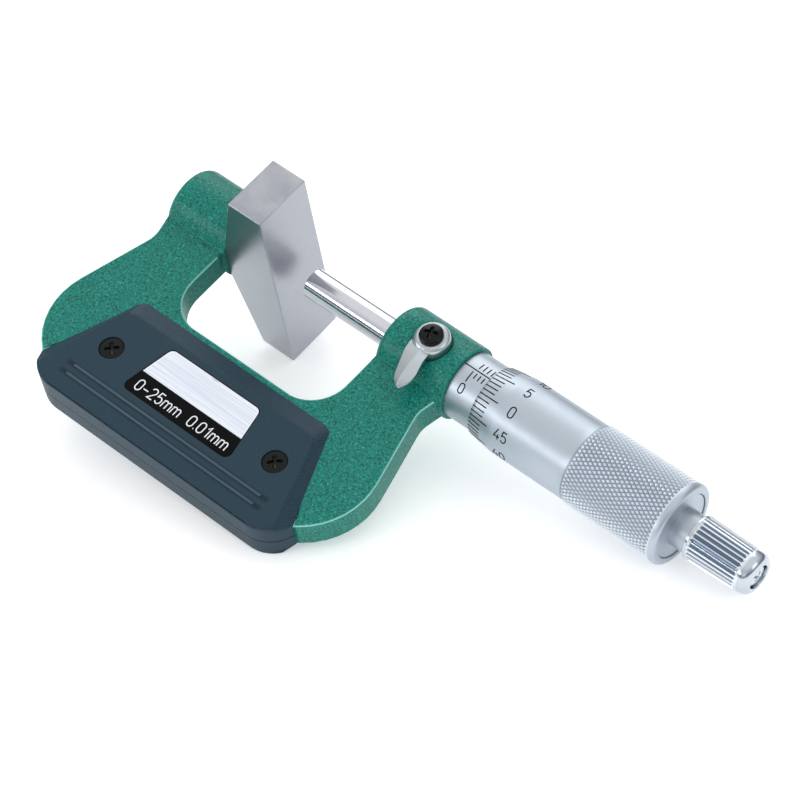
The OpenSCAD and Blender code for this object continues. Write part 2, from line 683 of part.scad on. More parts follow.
// Ring between radii r0 and r1 whose two faces lie at given heights: each section is
// [angle, low x, high x], and the last joins the first
module face_ring(r0, r1, sections) {
    n = len(sections);
    polyhedron(
        points = [for (s = sections) each [for (q = [[s[1], r0], [s[2], r0], [s[2], r1], [s[1], r1]])
            [q[0], q[1] * cos(s[0]), q[1] * sin(s[0])]]],
        faces = [for (i = [0:n - 1]) for (j = [0:3])
            let(a = 4 * i, b = 4 * ((i + 1) % n), k = (j + 1) % 4)
            each [[a + j, b + j, a + k], [b + j, b + k, a + k]]]);
}
// Saw teeth: x falls from each crest to a foot, then rises steeply to the next crest
steep = 1.2;
function saw(steps) = [for (k = [0:teeth - 1]) for (s = [0:steps])
    [k * 360 / teeth + s / steps * (360 / teeth - steep), tooth_h * (1 - s / steps)]];
// Extra depth that joins a toothed ring to what carries it
tooth_root = 0.3;

module ratchet_base() {
    color("#AEB2B8") difference() {
        union() {
            rod(recess_x - stud_l, recess_x + over, stud_r);
            rod(recess_x, thimble_end_x - 6 * slack, rear_recess_r - 3 * slack);
            rod(recess_x, knob_x - 3 * slack, neck_r);
            rod(knob_x - over, spigot_end, knob_bore_r - 2 * slack);
            translate([spigot_end, 0, 0])
                face_ring(tooth_bore_r, toothed_r, [for (s = saw(3)) [s[0], -tooth_root, s[1]]]);
        }
        rod(recess_x + over, knob_end_x, ratchet_screw_r);
    }
}

// Two keys beyond the knob's bore, or with no gap their keyways
module keys(x0, x1, gap) {
    translate([x0, gap - key_r, gap - key_w / 2]) cube([x1 - x0, 2 * (key_r - gap), key_w - 2 * gap]);
}
// Pawl ring: its teeth fill the gaps of the base's teeth, a little behind their steep sides
module ratchet_pawl() {
    color("#8E9297") difference() {
        union() {
            rod(pawl_x + tooth_h, spring_x, knob_bore_r - slack);
            keys(pawl_x + tooth_h, spring_x, slack);
            translate([pawl_x, 0, 0]) rotate([-1, 0, 0])
                face_ring(tooth_bore_r, toothed_r, [for (s = saw(3)) [s[0], s[1], tooth_h + tooth_root]]);
        }
        rod(pawl_x - over, spring_x + over, ratchet_screw_r + 0.35);
    }
}

// Compression spring between the pawl ring and the knob's shoulder
module ratchet_spring() {
    sides = 8;
    per_turn = 16;
    coil_r = (knob_bore_r + ratchet_screw_r) / 2;
    color("#9AA0A6") skin([for (k = [0:spring_turns * per_turn])
        let(t = k / per_turn, x = spring_x + wire_r + slack + spring_l * t / spring_turns)
        [for (j = [0:sides - 1]) let(b = 360 * j / sides, r = coil_r + wire_r * cos(b))
            [x + wire_r * sin(b), r * cos(360 * t), r * sin(360 * t)]]]);
}

module ratchet_knob() {
    edge = 0.25;
    fluted_from = knob_x + 0.9;
    fluted_to = knob_end_x - knob_round_r - 1.2;
    color("#C4CCD4") difference() {
        turned(concat([[knob_x, 0], [knob_x, knob_r - edge], [knob_x + edge, knob_r],
            [knob_end_x - knob_round_r - 2, knob_rear_r]],
            arc([knob_end_x - knob_round_r, knob_rear_r - knob_round_r], knob_round_r, 90, 0, 6),
            [[knob_end_x, 0]]));
        // Wide flutes that leave narrow ridges
        for (k = [0:flutes - 1]) rotate([360 * k / flutes, 0, 0])
            translate([fluted_from, 0, knob_r]) rotate([0, 90 + atan((knob_r - knob_rear_r) / knob_l), 0])
                linear_extrude(fluted_to - fluted_from)
                    polygon([[flute_depth, 0.18], [flute_depth, -0.18], [-0.6, -0.75], [-0.6, 0.75]]);
        rod(knob_x - over, shoulder_x, knob_bore_r);
        keys(pawl_x, shoulder_x, 0);
        rod(shoulder_x - over, knob_end_x + over, ratchet_screw_r + 3 * slack);
        rod(washer_x - slack, knob_end_x + over, ratchet_head_r + 7 * slack);
    }
}
module ratchet_washer() {
    color("#9AA0A6") difference() {
        rod(washer_x, washer_x + washer_t, ratchet_head_r + 4 * slack);
        rod(washer_x - over, washer_x + over, ratchet_screw_r + 2 * slack);
    }
}
module ratchet_screw() {
    color("#B4B8BE") {
        rod(recess_x + over + end_gap, screw_head_x + end_gap, ratchet_screw_r);
        difference() {
            rod(screw_head_x, screw_head_x + ratchet_head_h, ratchet_head_r);
            translate([screw_head_x + ratchet_head_h, 0, 0]) rotate([0, 90, 0])
                cross_recess(ratchet_head_r * 0.6, 0.7);
        }
    }
}

rest() frame();
rest() anvil();
rest() lock_pad();
rest() inner_sleeve();
rest() adjusting_nut();
rest() graduated_sleeve();
rest() spindle();
rest() thimble();
rest() ratchet_base();
rest() ratchet_knob();
rest() ratchet_pawl();
rest() ratchet_spring();
rest() ratchet_washer();
rest() ratchet_screw();
rest() lock_shaft();
rest() lock_lever();
rest() lock_screw();
rest() front_plate();
rest() rear_plate();
rest() front_plate_screws();
rest() rear_plate_screws();
rest() range_label();
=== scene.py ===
"""Surfaces and finishes of a large anvil micrometer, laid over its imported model.

Shapes are worked out in millimetres in the instrument's own directions: x along the spindle
from the anvil's face, y towards the open side of the throat and z square to the frame.
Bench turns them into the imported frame, in metres. Fields whose names end in _r, _l, _w, _h,
_x, _y and _z are radii, lengths, widths, heights and places along those directions.
"""

from __future__ import annotations

import json
import logging
import math
from collections.abc import Callable, Sequence
from dataclasses import dataclass, field, replace
from enum import Enum

import bmesh
import bpy
import numpy as np
from mathutils import Matrix, Vector

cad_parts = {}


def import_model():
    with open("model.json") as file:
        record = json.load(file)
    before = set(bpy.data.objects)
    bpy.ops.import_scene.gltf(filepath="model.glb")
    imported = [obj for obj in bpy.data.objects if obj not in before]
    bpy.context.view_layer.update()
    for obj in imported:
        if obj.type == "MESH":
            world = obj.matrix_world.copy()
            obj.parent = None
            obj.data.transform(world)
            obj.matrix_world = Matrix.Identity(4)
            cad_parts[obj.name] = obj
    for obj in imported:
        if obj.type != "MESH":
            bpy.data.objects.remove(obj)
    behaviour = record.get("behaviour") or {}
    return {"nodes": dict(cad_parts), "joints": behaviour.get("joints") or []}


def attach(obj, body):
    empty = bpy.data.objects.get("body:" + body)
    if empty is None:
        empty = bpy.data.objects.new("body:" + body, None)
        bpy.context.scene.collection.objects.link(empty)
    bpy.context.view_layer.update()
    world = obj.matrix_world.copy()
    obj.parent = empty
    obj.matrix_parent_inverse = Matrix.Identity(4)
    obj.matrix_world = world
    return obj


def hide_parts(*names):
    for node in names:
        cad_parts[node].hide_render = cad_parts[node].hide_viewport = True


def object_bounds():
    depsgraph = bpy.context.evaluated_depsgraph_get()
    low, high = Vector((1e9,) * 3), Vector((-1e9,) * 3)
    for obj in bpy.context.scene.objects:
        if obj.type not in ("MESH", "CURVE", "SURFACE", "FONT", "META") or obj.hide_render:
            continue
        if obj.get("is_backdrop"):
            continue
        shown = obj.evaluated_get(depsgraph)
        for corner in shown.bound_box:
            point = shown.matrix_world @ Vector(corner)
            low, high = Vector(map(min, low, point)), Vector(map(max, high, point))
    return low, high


LOG = logging.getLogger("micrometer")
MM = 0.001
Array = np.ndarray
Tree, Node, Socket = bpy.types.NodeTree, bpy.types.Node, bpy.types.NodeSocket
Thing, Mesh = bpy.types.Object, bpy.types.Mesh


class Way(Enum):
    """The instrument's own directions."""

    ALONG = 0
    OPEN_SIDE = 1
    SQUARE = 2


@dataclass(frozen=True)
class Bench:
    """How the instrument lies on the table.

    Attributes:
        turn: matrix whose columns are the instrument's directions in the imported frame.
    """

    turn: Array

    @classmethod
    def from_model(cls, joints: list[dict], flat: Mesh) -> "Bench":
        """Takes the directions from the spindle's joint axis and from a flat piece that is square to the frame.

        The flat piece's own direction is the one in which its vertices spread least.

        Args:
            joints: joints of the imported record.
            flat: mesh of a flat piece.

        Returns:
            The bench.
        """
        along = next(np.array(joint["axis"], float) for joint in joints if joint["name"] == "spindle_travel")
        along /= np.linalg.norm(along)
        spots = cls(np.eye(3)).read(flat)
        square = np.linalg.svd(spots - spots.mean(axis=0), full_matrices=False)[2][2]
        square -= along * (square @ along)
        square *= np.sign(square[2]) / np.linalg.norm(square)
        return cls(np.column_stack([along, np.cross(square, along), square]))

    def place(self, points: Array) -> Array:
        """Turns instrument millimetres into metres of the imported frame."""
        return points @ self.turn.T * MM

    def read(self, mesh: Mesh) -> Array:
        """A mesh's vertices in instrument millimetres."""
        flat = np.empty(len(mesh.vertices) * 3)
        mesh.vertices.foreach_get("co", flat)
        return flat.reshape(-1, 3) @ self.turn / MM

    def reach(self, node: Thing, way: Way) -> tuple[float, float]:
        """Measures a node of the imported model.

        Args:
            node: the node's object.
            way: direction to measure along.

        Returns:
            Its lowest and highest place along that direction, in millimetres.
        """
        spots = self.read(node.data)[:, way.value]
        return float(spots.min()), float(spots.max())

    def own_turn(self) -> tuple[float, float, float]:
        """Angles of a Mapping node that turns packed coordinates into the instrument's."""
        return tuple(Matrix(self.turn.T.tolist()).to_euler("XYZ"))


def rgba(hex_colour: str) -> tuple[float, float, float, float]:
    """Turns an sRGB hex colour into linear red, green, blue and alpha."""
    parts = np.array([int(hex_colour[i : i + 2], 16) / 255 for i in (1, 3, 5)])
    line = np.where(parts <= 0.04045, parts / 12.92, ((parts + 0.055) / 1.055) ** 2.4)
    return (*line.tolist(), 1.0)


def add(tree: Tree, kind: str, links: dict | None = None, **settings: object) -> Node:
    """Adds one shader node with its settings and links.

    Args:
        tree: the material's node tree.
        kind: the node's type without its ShaderNode prefix.
        links: input name or number to the output socket that feeds it.
        **settings: attributes, or input values where the name starts with in_.

    Returns:
        The node.
    """
    made = tree.nodes.new("ShaderNode" + kind)
    for name, value in settings.items():
        if name.startswith("in_"):
            made.inputs[name[3:].replace("_", " ")].default_value = value
        else:
            setattr(made, name, value)
    for name, socket in (links or {}).items():
        tree.links.new(socket, made.inputs[name])
    return made


def ramp(tree: Tree, share: Socket, colours: Sequence[tuple[float, str]]) -> Socket:
    """Adds a colour ramp.

    Args:
        tree: the material's node tree.
        share: output that feeds it.
        colours: its positions and hex colours.

    Returns:
        Its colour output.
    """
    made = add(tree, "ValToRGB", {"Fac": share})
    elements = made.color_ramp.elements
    while len(elements) < len(colours):
        elements.new(0.5)
    for element, (place, colour) in zip(elements, colours):
        element.position = place
        element.color = rgba(colour)
    return made.outputs["Color"]


def calc(tree: Tree, work: str, first: Socket, second: Socket | float | None = None) -> Socket:
    """Adds a Math node.

    Args:
        tree: the material's node tree.
        work: the node's operation.
        first: output that feeds its first input.
        second: output or number for its second input, where it has one.

    Returns:
        Its output.
    """
    made = add(tree, "Math", {0: first}, operation=work)
    if isinstance(second, Socket):
        tree.links.new(second, made.inputs[1])
    elif second is not None:
        made.inputs[1].default_value = second
    return made.outputs[0]


def apart(tree: Tree, value: Socket, middle: float) -> Socket:
    """How far a value is from a middle, on either side."""
    return calc(tree, "ABSOLUTE", calc(tree, "SUBTRACT", value, middle))


def span(tree: Tree, value: Socket, start: float, end: float, low: float = 0.0, high: float = 1.0) -> Socket:
    """Maps a value that runs from start to end evenly to low to high, and keeps it between them."""
    made = add(tree, "MapRange", {"Value": value}, in_From_Min=start, in_From_Max=end, in_To_Min=low, in_To_Max=high)
    return made.outputs["Result"]


def mix(tree: Tree, share: Socket, under: Socket | str, over: Socket | str) -> Socket:
    """Mixes two colours, each an output or a hex, by the share of the second one."""
    made = add(tree, "Mix", {0: share}, data_type="RGBA")
    for place, colour in ((6, under), (7, over)):
        if isinstance(colour, str):
            made.inputs[place].default_value = rgba(colour)
        else:
            tree.links.new(colour, made.inputs[place])
    return made.outputs[2]


def noise(tree: Tree, spots: Socket, size: float, detail: float, roughness: float = 0.5) -> Node:
    """Adds a noise whose waves are some millimetres long."""
    return add(tree, "TexNoise", {"Vector": spots}, in_Scale=1 / (size * MM), in_Detail=detail,
               in_Roughness=roughness)


@dataclass(frozen=True)
class Finish:
    """Base of every finish: one shader with a colour, a gloss that wavers a little and no relief.

    Attributes:
        title: the material's name.
        colour: sRGB hex of the bare surface.
        roughness: the shader's roughness at the middle of its waver.
        metallic: 1 for metal and 0 for the rest.
        waver: how far the roughness strays each way.
        specular: the shader's specular level.
        cloud: size in millimetres of the patches whose gloss differs.
    """

    title: str
    colour: str
    roughness: float = 0.4
    metallic: float = 0.0
    waver: float = 0.05
    specular: float = 0.5
    cloud: float = field(default=2.5, kw_only=True)

    def material(self, bench: Bench) -> bpy.types.Material:
        """Makes the material, or returns it where it's there already."""
        made = bpy.data.materials.get(self.title)
        if made is None:
            made = bpy.data.materials.new(self.title)
            made.use_nodes = True
            tree = made.node_tree
            shader = tree.nodes["Principled BSDF"]
            shader.inputs["Base Color"].default_value = rgba(self.colour)
            shader.inputs["Roughness"].default_value = self.roughness
            shader.inputs["Metallic"].default_value = self.metallic
            shader.inputs["Specular IOR Level"].default_value = self.specular
            made.diffuse_color = rgba(self.colour)
            place = add(tree, "TexCoord")
            own = add(tree, "Mapping", {"Vector": place.outputs["Object"]}, in_Rotation=bench.own_turn())
            self.dress(tree, shader, own.outputs["Vector"])
        return made

    def shine(self, tree: Tree, shader: Node, pattern: Node) -> None:
        """Lets a pattern move the roughness by the finish's waver."""
        gloss = span(tree, pattern.outputs["Fac"], 0.0, 1.0, self.roughness - self.waver, self.roughness + self.waver)
        tree.links.new(gloss, shader.inputs["Roughness"])

    @staticmethod
    def emboss(tree: Tree, shader: Node, pattern: Node, strength: float, height: float) -> None:
        """Lets a pattern raise the surface by some millimetres."""
        relief = add(tree, "Bump", {"Height": pattern.outputs["Fac"]}, in_Strength=strength, in_Distance=height * MM)
        tree.links.new(relief.outputs["Normal"], shader.inputs["Normal"])

    def dress(self, tree: Tree, shader: Node, spots: Socket) -> None:
        """Adds the finish's own pattern. The base adds a faint unevenness of gloss.

        Args:
            tree: the material's node tree.
            shader: its Principled shader.
            spots: coordinates in the instrument's directions, in metres.
        """
        self.shine(tree, shader, noise(tree, spots, self.cloud, 3.0))


@dataclass(frozen=True)
class HammeredEnamel(Finish):
    """Hammer-finish stove enamel, sprayed on a casting: dark worm-like specks with a low relief.

    Attributes:
        dark: hex of the paint in the hollows.
        light: hex of the paint on the crests.
        thin: hex of the highlight painted along the web's rounded edges.
        bands: places on the noise of the dark, the plain (from and to) and the light paint.
        speck: size of a speck in millimetres.
        warp_size: size of the noise that bends the specks, in specks.
        warp_reach: how far it bends them, in specks.
        strength: strength of the relief.
        depth: height of the relief in millimetres.
        edge_z: height of the web's rounded edges over the middle of the frame.
        edge_w: half width of that painted highlight line.
        clear_y: distance to the side of the spindle's axis at which that line starts.
    """

    dark: str = "#045346"
    light: str = "#45AFA1"
    thin: str = "#A6EEE2"
    bands: tuple[float, ...] = (0.37, 0.49, 0.58, 0.74)
    speck: float = 0.42
    warp_size: float = 1.6
    warp_reach: float = 0.8
    strength: float = 0.6
    depth: float = 0.06
    edge_z: float = 3.13
    edge_w: float = 0.17
    clear_y: float = 8.6

    def dress(self, tree: Tree, shader: Node, spots: Socket) -> None:
        """Bends a noise by another one, and lets it drive the colour and the relief; then paints a highlight along
        the web's rounded edges.
        """
        warp = noise(tree, spots, self.warp_size * self.speck, 2.0)
        bend = add(tree, "VectorMath", {0: warp.outputs["Color"]}, operation="SCALE",
                   in_Scale=self.warp_reach * self.speck * MM)
        moved = add(tree, "VectorMath", {0: spots, 1: bend.outputs["Vector"]}, operation="ADD")
        specks = noise(tree, moved.outputs["Vector"], self.speck, 2.5, 0.6)
        tones = (self.dark, self.colour, self.colour, self.light)
        paint = ramp(tree, specks.outputs["Fac"], tuple(zip(self.bands, tones)))
        # Paints a pale highlight along the web's rounded edges over the specked paint.
        tree.links.new(mix(tree, self.worn(tree, spots), paint, self.thin), shader.inputs["Base Color"])
        self.emboss(tree, shader, specks, self.strength, self.depth)
        self.shine(tree, shader, warp)

    def worn(self, tree: Tree, spots: Socket) -> Socket:
        """Share of painted highlight: 1 on the line of the web's rounded edges and 0 elsewhere."""
        parts = add(tree, "SeparateXYZ", {"Vector": spots})
        high = calc(tree, "ABSOLUTE", parts.outputs["Z"])
        line = span(tree, apart(tree, high, self.edge_z * MM), self.edge_w * MM, 0.0)
        aside = calc(tree, "ABSOLUTE", parts.outputs["Y"])
        return calc(tree, "MULTIPLY", line, calc(tree, "GREATER_THAN", aside, self.clear_y * MM))


@dataclass(frozen=True)
class CutSteel(Finish):
    """Bare or chrome-plated steel with the fine lines that its last cut left.

    Attributes:
        cut: direction that the lines run across, so that they change along it.
        line: width of a line in millimetres.
        depth: strength of the lines' relief.
        stretch: how much longer than wide a line is.
        tint: hex of the lighter metal between the lines.
        height: height of the lines' relief in millimetres.
    """

    cut: Way = Way.ALONG
    line: float = 0.06
    depth: float = 0.12
    stretch: float = 60.0
    tint: str = "#FFFFFF"
    height: float = 0.02

    def dress(self, tree: Tree, shader: Node, spots: Socket) -> None:
        """Draws lines as noise that is stretched along the cut, and lets them tint the metal."""
        scale = [1 / (self.line * self.stretch * MM)] * 3
        scale[self.cut.value] = 1 / (self.line * MM)
        pulled = add(tree, "Mapping", {"Vector": spots}, in_Scale=scale)
        lines = add(tree, "TexNoise", {"Vector": pulled.outputs["Vector"]}, in_Scale=1.0, in_Detail=3.0)
        self.shine(tree, shader, lines)
        metal = ramp(tree, lines.outputs["Fac"], [(0.35, self.colour), (0.65, self.tint)])
        tree.links.new(metal, shader.inputs["Base Color"])
        self.emboss(tree, shader, lines, self.depth, self.height)


@dataclass(frozen=True)
class CutGrip(Finish):
    """Chrome plate over a knurl or over flutes, with shade painted into the hollows and a highlight painted on the
    crests.

    Attributes:
        crest: hex of the painted highlight on the crests.
        hollow: hex of the painted shade at the bottom of the hollows.
        rub: how deep the painted highlight reaches, as a share of the cuts' depth.
        crest_r: radius of the crests where the cuts start.
        fall: how much that radius falls in each millimetre along the axis.
        cut_depth: depth of the cuts.
        start: place on the axis where the cuts start.
        end: where they end.
    """

    crest: str = "#DCE2E8"
    hollow: str = "#74859A"
    rub: float = 0.42
    crest_r: float = 1.0
    fall: float = 0.0
    cut_depth: float = 0.3
    start: float = 0.0
    end: float = 1.0

    def dress(self, tree: Tree, shader: Node, spots: Socket) -> None:
        """Measures how far a spot lies under the crests, and paints shade into the colour with it."""
        parts = add(tree, "SeparateXYZ", {"Vector": spots})
        x = parts.outputs["X"]
        flat = add(tree, "CombineXYZ", {"X": parts.outputs["Y"], "Y": parts.outputs["Z"]})
        radius = add(tree, "VectorMath", {0: flat.outputs["Vector"]}, operation="LENGTH")
        start, end = self.start * MM, self.end * MM
        end_r = self.crest_r - self.fall * (self.end - self.start)
        crest = span(tree, x, start, end, self.crest_r * MM, end_r * MM)
        under = calc(tree, "SUBTRACT", crest, radius.outputs["Value"])
        share = span(tree, under, 0.0, self.cut_depth * MM)
        inside = calc(tree, "MULTIPLY", calc(tree, "GREATER_THAN", x, start), calc(tree, "LESS_THAN", x, end))
        # Painted highlight on the crests, and painted shade that deepens towards the bottom of the hollows.
        shaded = ramp(tree, share, [(self.rub, self.crest), (1.0, self.hollow)])
        tree.links.new(mix(tree, inside, self.colour, shaded), shader.inputs["Base Color"])
        super().dress(tree, shader, spots)


@dataclass(frozen=True)
class MouldedPlastic(Finish):
    """Glass-filled nylon, moulded in a finely eroded tool: matt, with a grain that sparkles a little.

    Attributes:
        grain: size of the grain in millimetres, a little coarser than real so that it shows.
        light: hex of the grain's crests.
        gap: hex of the line where the plates meet.
        seam: half width of that line, at the middle of the frame.
        foot: hex of the shade painted along the finger ribs' feet.
        foot_w: distances from a rib's middle at which that painted shade ends and is full.
        face: heights at which the plates' face begins and is full.
        rubbed: hex of the highlight painted on the ribs' crests.
        crests: heights at which those begin and are full.
        ribs_y: place midway between the two ribs.
        ribs_apart: distance between them.
        ribs_x: middle of their length.
        ribs_reach: half of that length.
    """

    grain: float = 0.16
    light: str = "#2C4857"
    gap: str = "#020304"
    seam: float = 0.14
    foot: str = "#0F222D"
    foot_w: tuple[float, float] = (0.8, 0.3)
    face: tuple[float, float] = (4.6, 4.75)
    rubbed: str = "#3E5565"
    crests: tuple[float, float] = (4.86, 4.98)
    ribs_y: float = -47.55
    ribs_apart: float = 2.3
    ribs_x: float = 6.7
    ribs_reach: float = 27.0

    def dress(self, tree: Tree, shader: Node, spots: Socket) -> None:
        """Adds the grain to the colour, the gloss and the relief, then paints shade and a highlight on the ribs, and
        the seam.
        """
        grain = noise(tree, spots, self.grain, 2.0)
        parts = add(tree, "SeparateXYZ", {"Vector": spots})
        high = calc(tree, "ABSOLUTE", parts.outputs["Z"])
        off = apart(tree, apart(tree, parts.outputs["Y"], self.ribs_y * MM), self.ribs_apart / 2 * MM)
        astray = apart(tree, parts.outputs["X"], self.ribs_x * MM)
        foot = span(tree, off, *(w * MM for w in self.foot_w))
        face = span(tree, high, *(z * MM for z in self.face))
        along = span(tree, astray, (self.ribs_reach + 1) * MM, self.ribs_reach * MM)
        shade = calc(tree, "MULTIPLY", calc(tree, "MULTIPLY", foot, face), along)
        tone = ramp(tree, grain.outputs["Fac"], [(0.4, self.colour), (0.72, self.light)])
        # Painted shade along the ribs' feet, a painted highlight on their raised crests, then the dark seam line.
        for share, colour in ((shade, self.foot), (span(tree, high, *(z * MM for z in self.crests)), self.rubbed),
                              (calc(tree, "LESS_THAN", high, self.seam * MM), self.gap)):
            tone = mix(tree, share, tone, colour)
        tree.links.new(tone, shader.inputs["Base Color"])
        self.shine(tree, shader, grain)
        self.emboss(tree, shader, grain, 0.2, 0.03)


# Hammer-finish enamel over cast iron: a soft gloss with specks that make it look pebbled
ENAMEL = HammeredEnamel("hammered_green_enamel", "#127E70", roughness=0.36, specular=0.25)
# Surface-ground tool steel: matt grey with faint straight lines from the wheel
GROUND_STEEL = CutSteel("ground_tool_steel", "#A0A3AB", 0.33, 1.0, cut=Way.SQUARE, line=0.07, tint="#B0B1B8")
# Cylindrically ground and lapped steel: it mirrors the room in long streaks
LAPPED_STEEL = CutSteel("lapped_spindle_steel", "#CBCCD3", 0.14, 1.0, line=0.05, depth=0.05, tint="#D8D9DF")
# Satin chrome plate over turned steel: a cool, silky glare that blurs round the barrel
SATIN_CHROME = CutSteel("satin_chrome_plate", "#B6BFC8", 0.44, 1.0, line=0.05, depth=0.06, tint="#BEC6CE")
# Bright chrome plate on the ratchet: harder bands of light and dark
BRIGHT_CHROME = CutSteel("bright_chrome_plate", "#C3CAD2", 0.20, 1.0, line=0.05, depth=0.06, tint="#D0D6DC")
# Satin chrome over the thimble, with shade painted into the knurl's hollows and a highlight on its crests
KNURLED_CHROME = CutGrip("knurled_satin_chrome", "#B9C2CB", 0.44, 1.0)
# Bright chrome over the knob, with shade painted into the flutes and a highlight on the narrow ridges between them
FLUTED_CHROME = CutGrip("fluted_bright_chrome", "#C3CAD2", 0.20, 1.0, hollow="#66768B")
# Turned free-cutting steel of the inner pieces
TURNED_STEEL = CutSteel("turned_free_cutting_steel", "#A7ABB0", 0.34, 1.0, line=0.10, depth=0.2, tint="#B8BBC0")
# Zinc casting with a satin nickel plate: soft, blurred highlights along its ridge
PLATED_CASTING = Finish("satin_plated_casting", "#BEC5C7", 0.33, 1.0)
# Glass-filled nylon plates
PLATE_NYLON = MouldedPlastic("moulded_slate_nylon", "#16303D", 0.46, specular=0.25)
# Chemically blackened steel of the screws, lightly oiled
BLACK_STEEL = Finish("blackened_screw_steel", "#07090A", 0.24, 0.3, specular=0.3)
# Engraver's enamel in the graduations: dead black with no glare
GRAVER_BLACK = Finish("engravers_black_enamel", "#08090B", 0.6, specular=0.15)
# White screen ink of the label's print, also used for a painted highlight on its bevelled edge
LABEL_WHITE = Finish("white_screen_ink", "#F4F6F9", 0.55, specular=0.3)
# Black screen ink on the label's lower half
LABEL_BLACK = Finish("black_screen_ink", "#020203", 0.6, specular=0.1)
# Brushed aluminium foil of the label's upper half
LABEL_FOIL = CutSteel("brushed_label_foil", "#D3DAE8", 0.42, 0.35, cut=Way.OPEN_SIDE, line=0.2, depth=0.10,
                      stretch=120.0, tint="#F2F5FC")
# Sintered bronze of the lock's plug
PLUG_BRONZE = CutSteel("plug_bronze", "#B08D4A", 0.35, 1.0, line=0.10, tint="#C09B58")
# Drawn spring steel
SPRING_STEEL = Finish("drawn_spring_steel", "#9DA1A6", 0.25, 1.0)


@dataclass(frozen=True)
class Seat:
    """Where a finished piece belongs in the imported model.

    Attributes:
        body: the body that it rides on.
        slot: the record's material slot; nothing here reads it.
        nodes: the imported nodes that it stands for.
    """

    body: str
    slot: str
    nodes: tuple[str, ...] = ()


@dataclass(frozen=True)
class Break:
    """Edges of a copied mesh that get a small round.

    Attributes:
        share: the round's width as a share of the widest one on the piece.
        least: smallest turn between the edge's two faces, in degrees.
        most: largest turn.
        where: says which edge middles, in instrument millimetres, belong.
    """

    share: float
    least: float
    most: float
    where: Callable[[Array], Array] = lambda spots: np.ones(len(spots), bool)


def edge_turns(mesh: Mesh) -> Array:
    """Angle between the two faces at each edge of a closed mesh.

    The two corners of the mesh that name an edge are found by sorting; the angle is the
    arc cosine of the product of their faces' normals.

    Args:
        mesh: a closed mesh.

    Returns:
        One angle for each edge, in degrees.
    """
    edge_of = np.empty(len(mesh.loops), np.int32)
    mesh.loops.foreach_get("edge_index", edge_of)
    totals = np.empty(len(mesh.polygons), np.int32)
    mesh.polygons.foreach_get("loop_total", totals)
    normals = np.empty(len(mesh.polygons) * 3)
    mesh.polygons.foreach_get("normal", normals)
    face_of = np.repeat(np.arange(len(totals)), totals)
    order = np.argsort(edge_of, kind="stable")
    first = np.searchsorted(edge_of[order], np.arange(len(mesh.edges)))
    second = np.minimum(first + 1, len(order) - 1)
    normals = normals.reshape(-1, 3)
    product = np.einsum("ij,ij->i", normals[face_of[order[first]]], normals[face_of[order[second]]])
    return np.degrees(np.arccos(np.clip(product, -1, 1)))


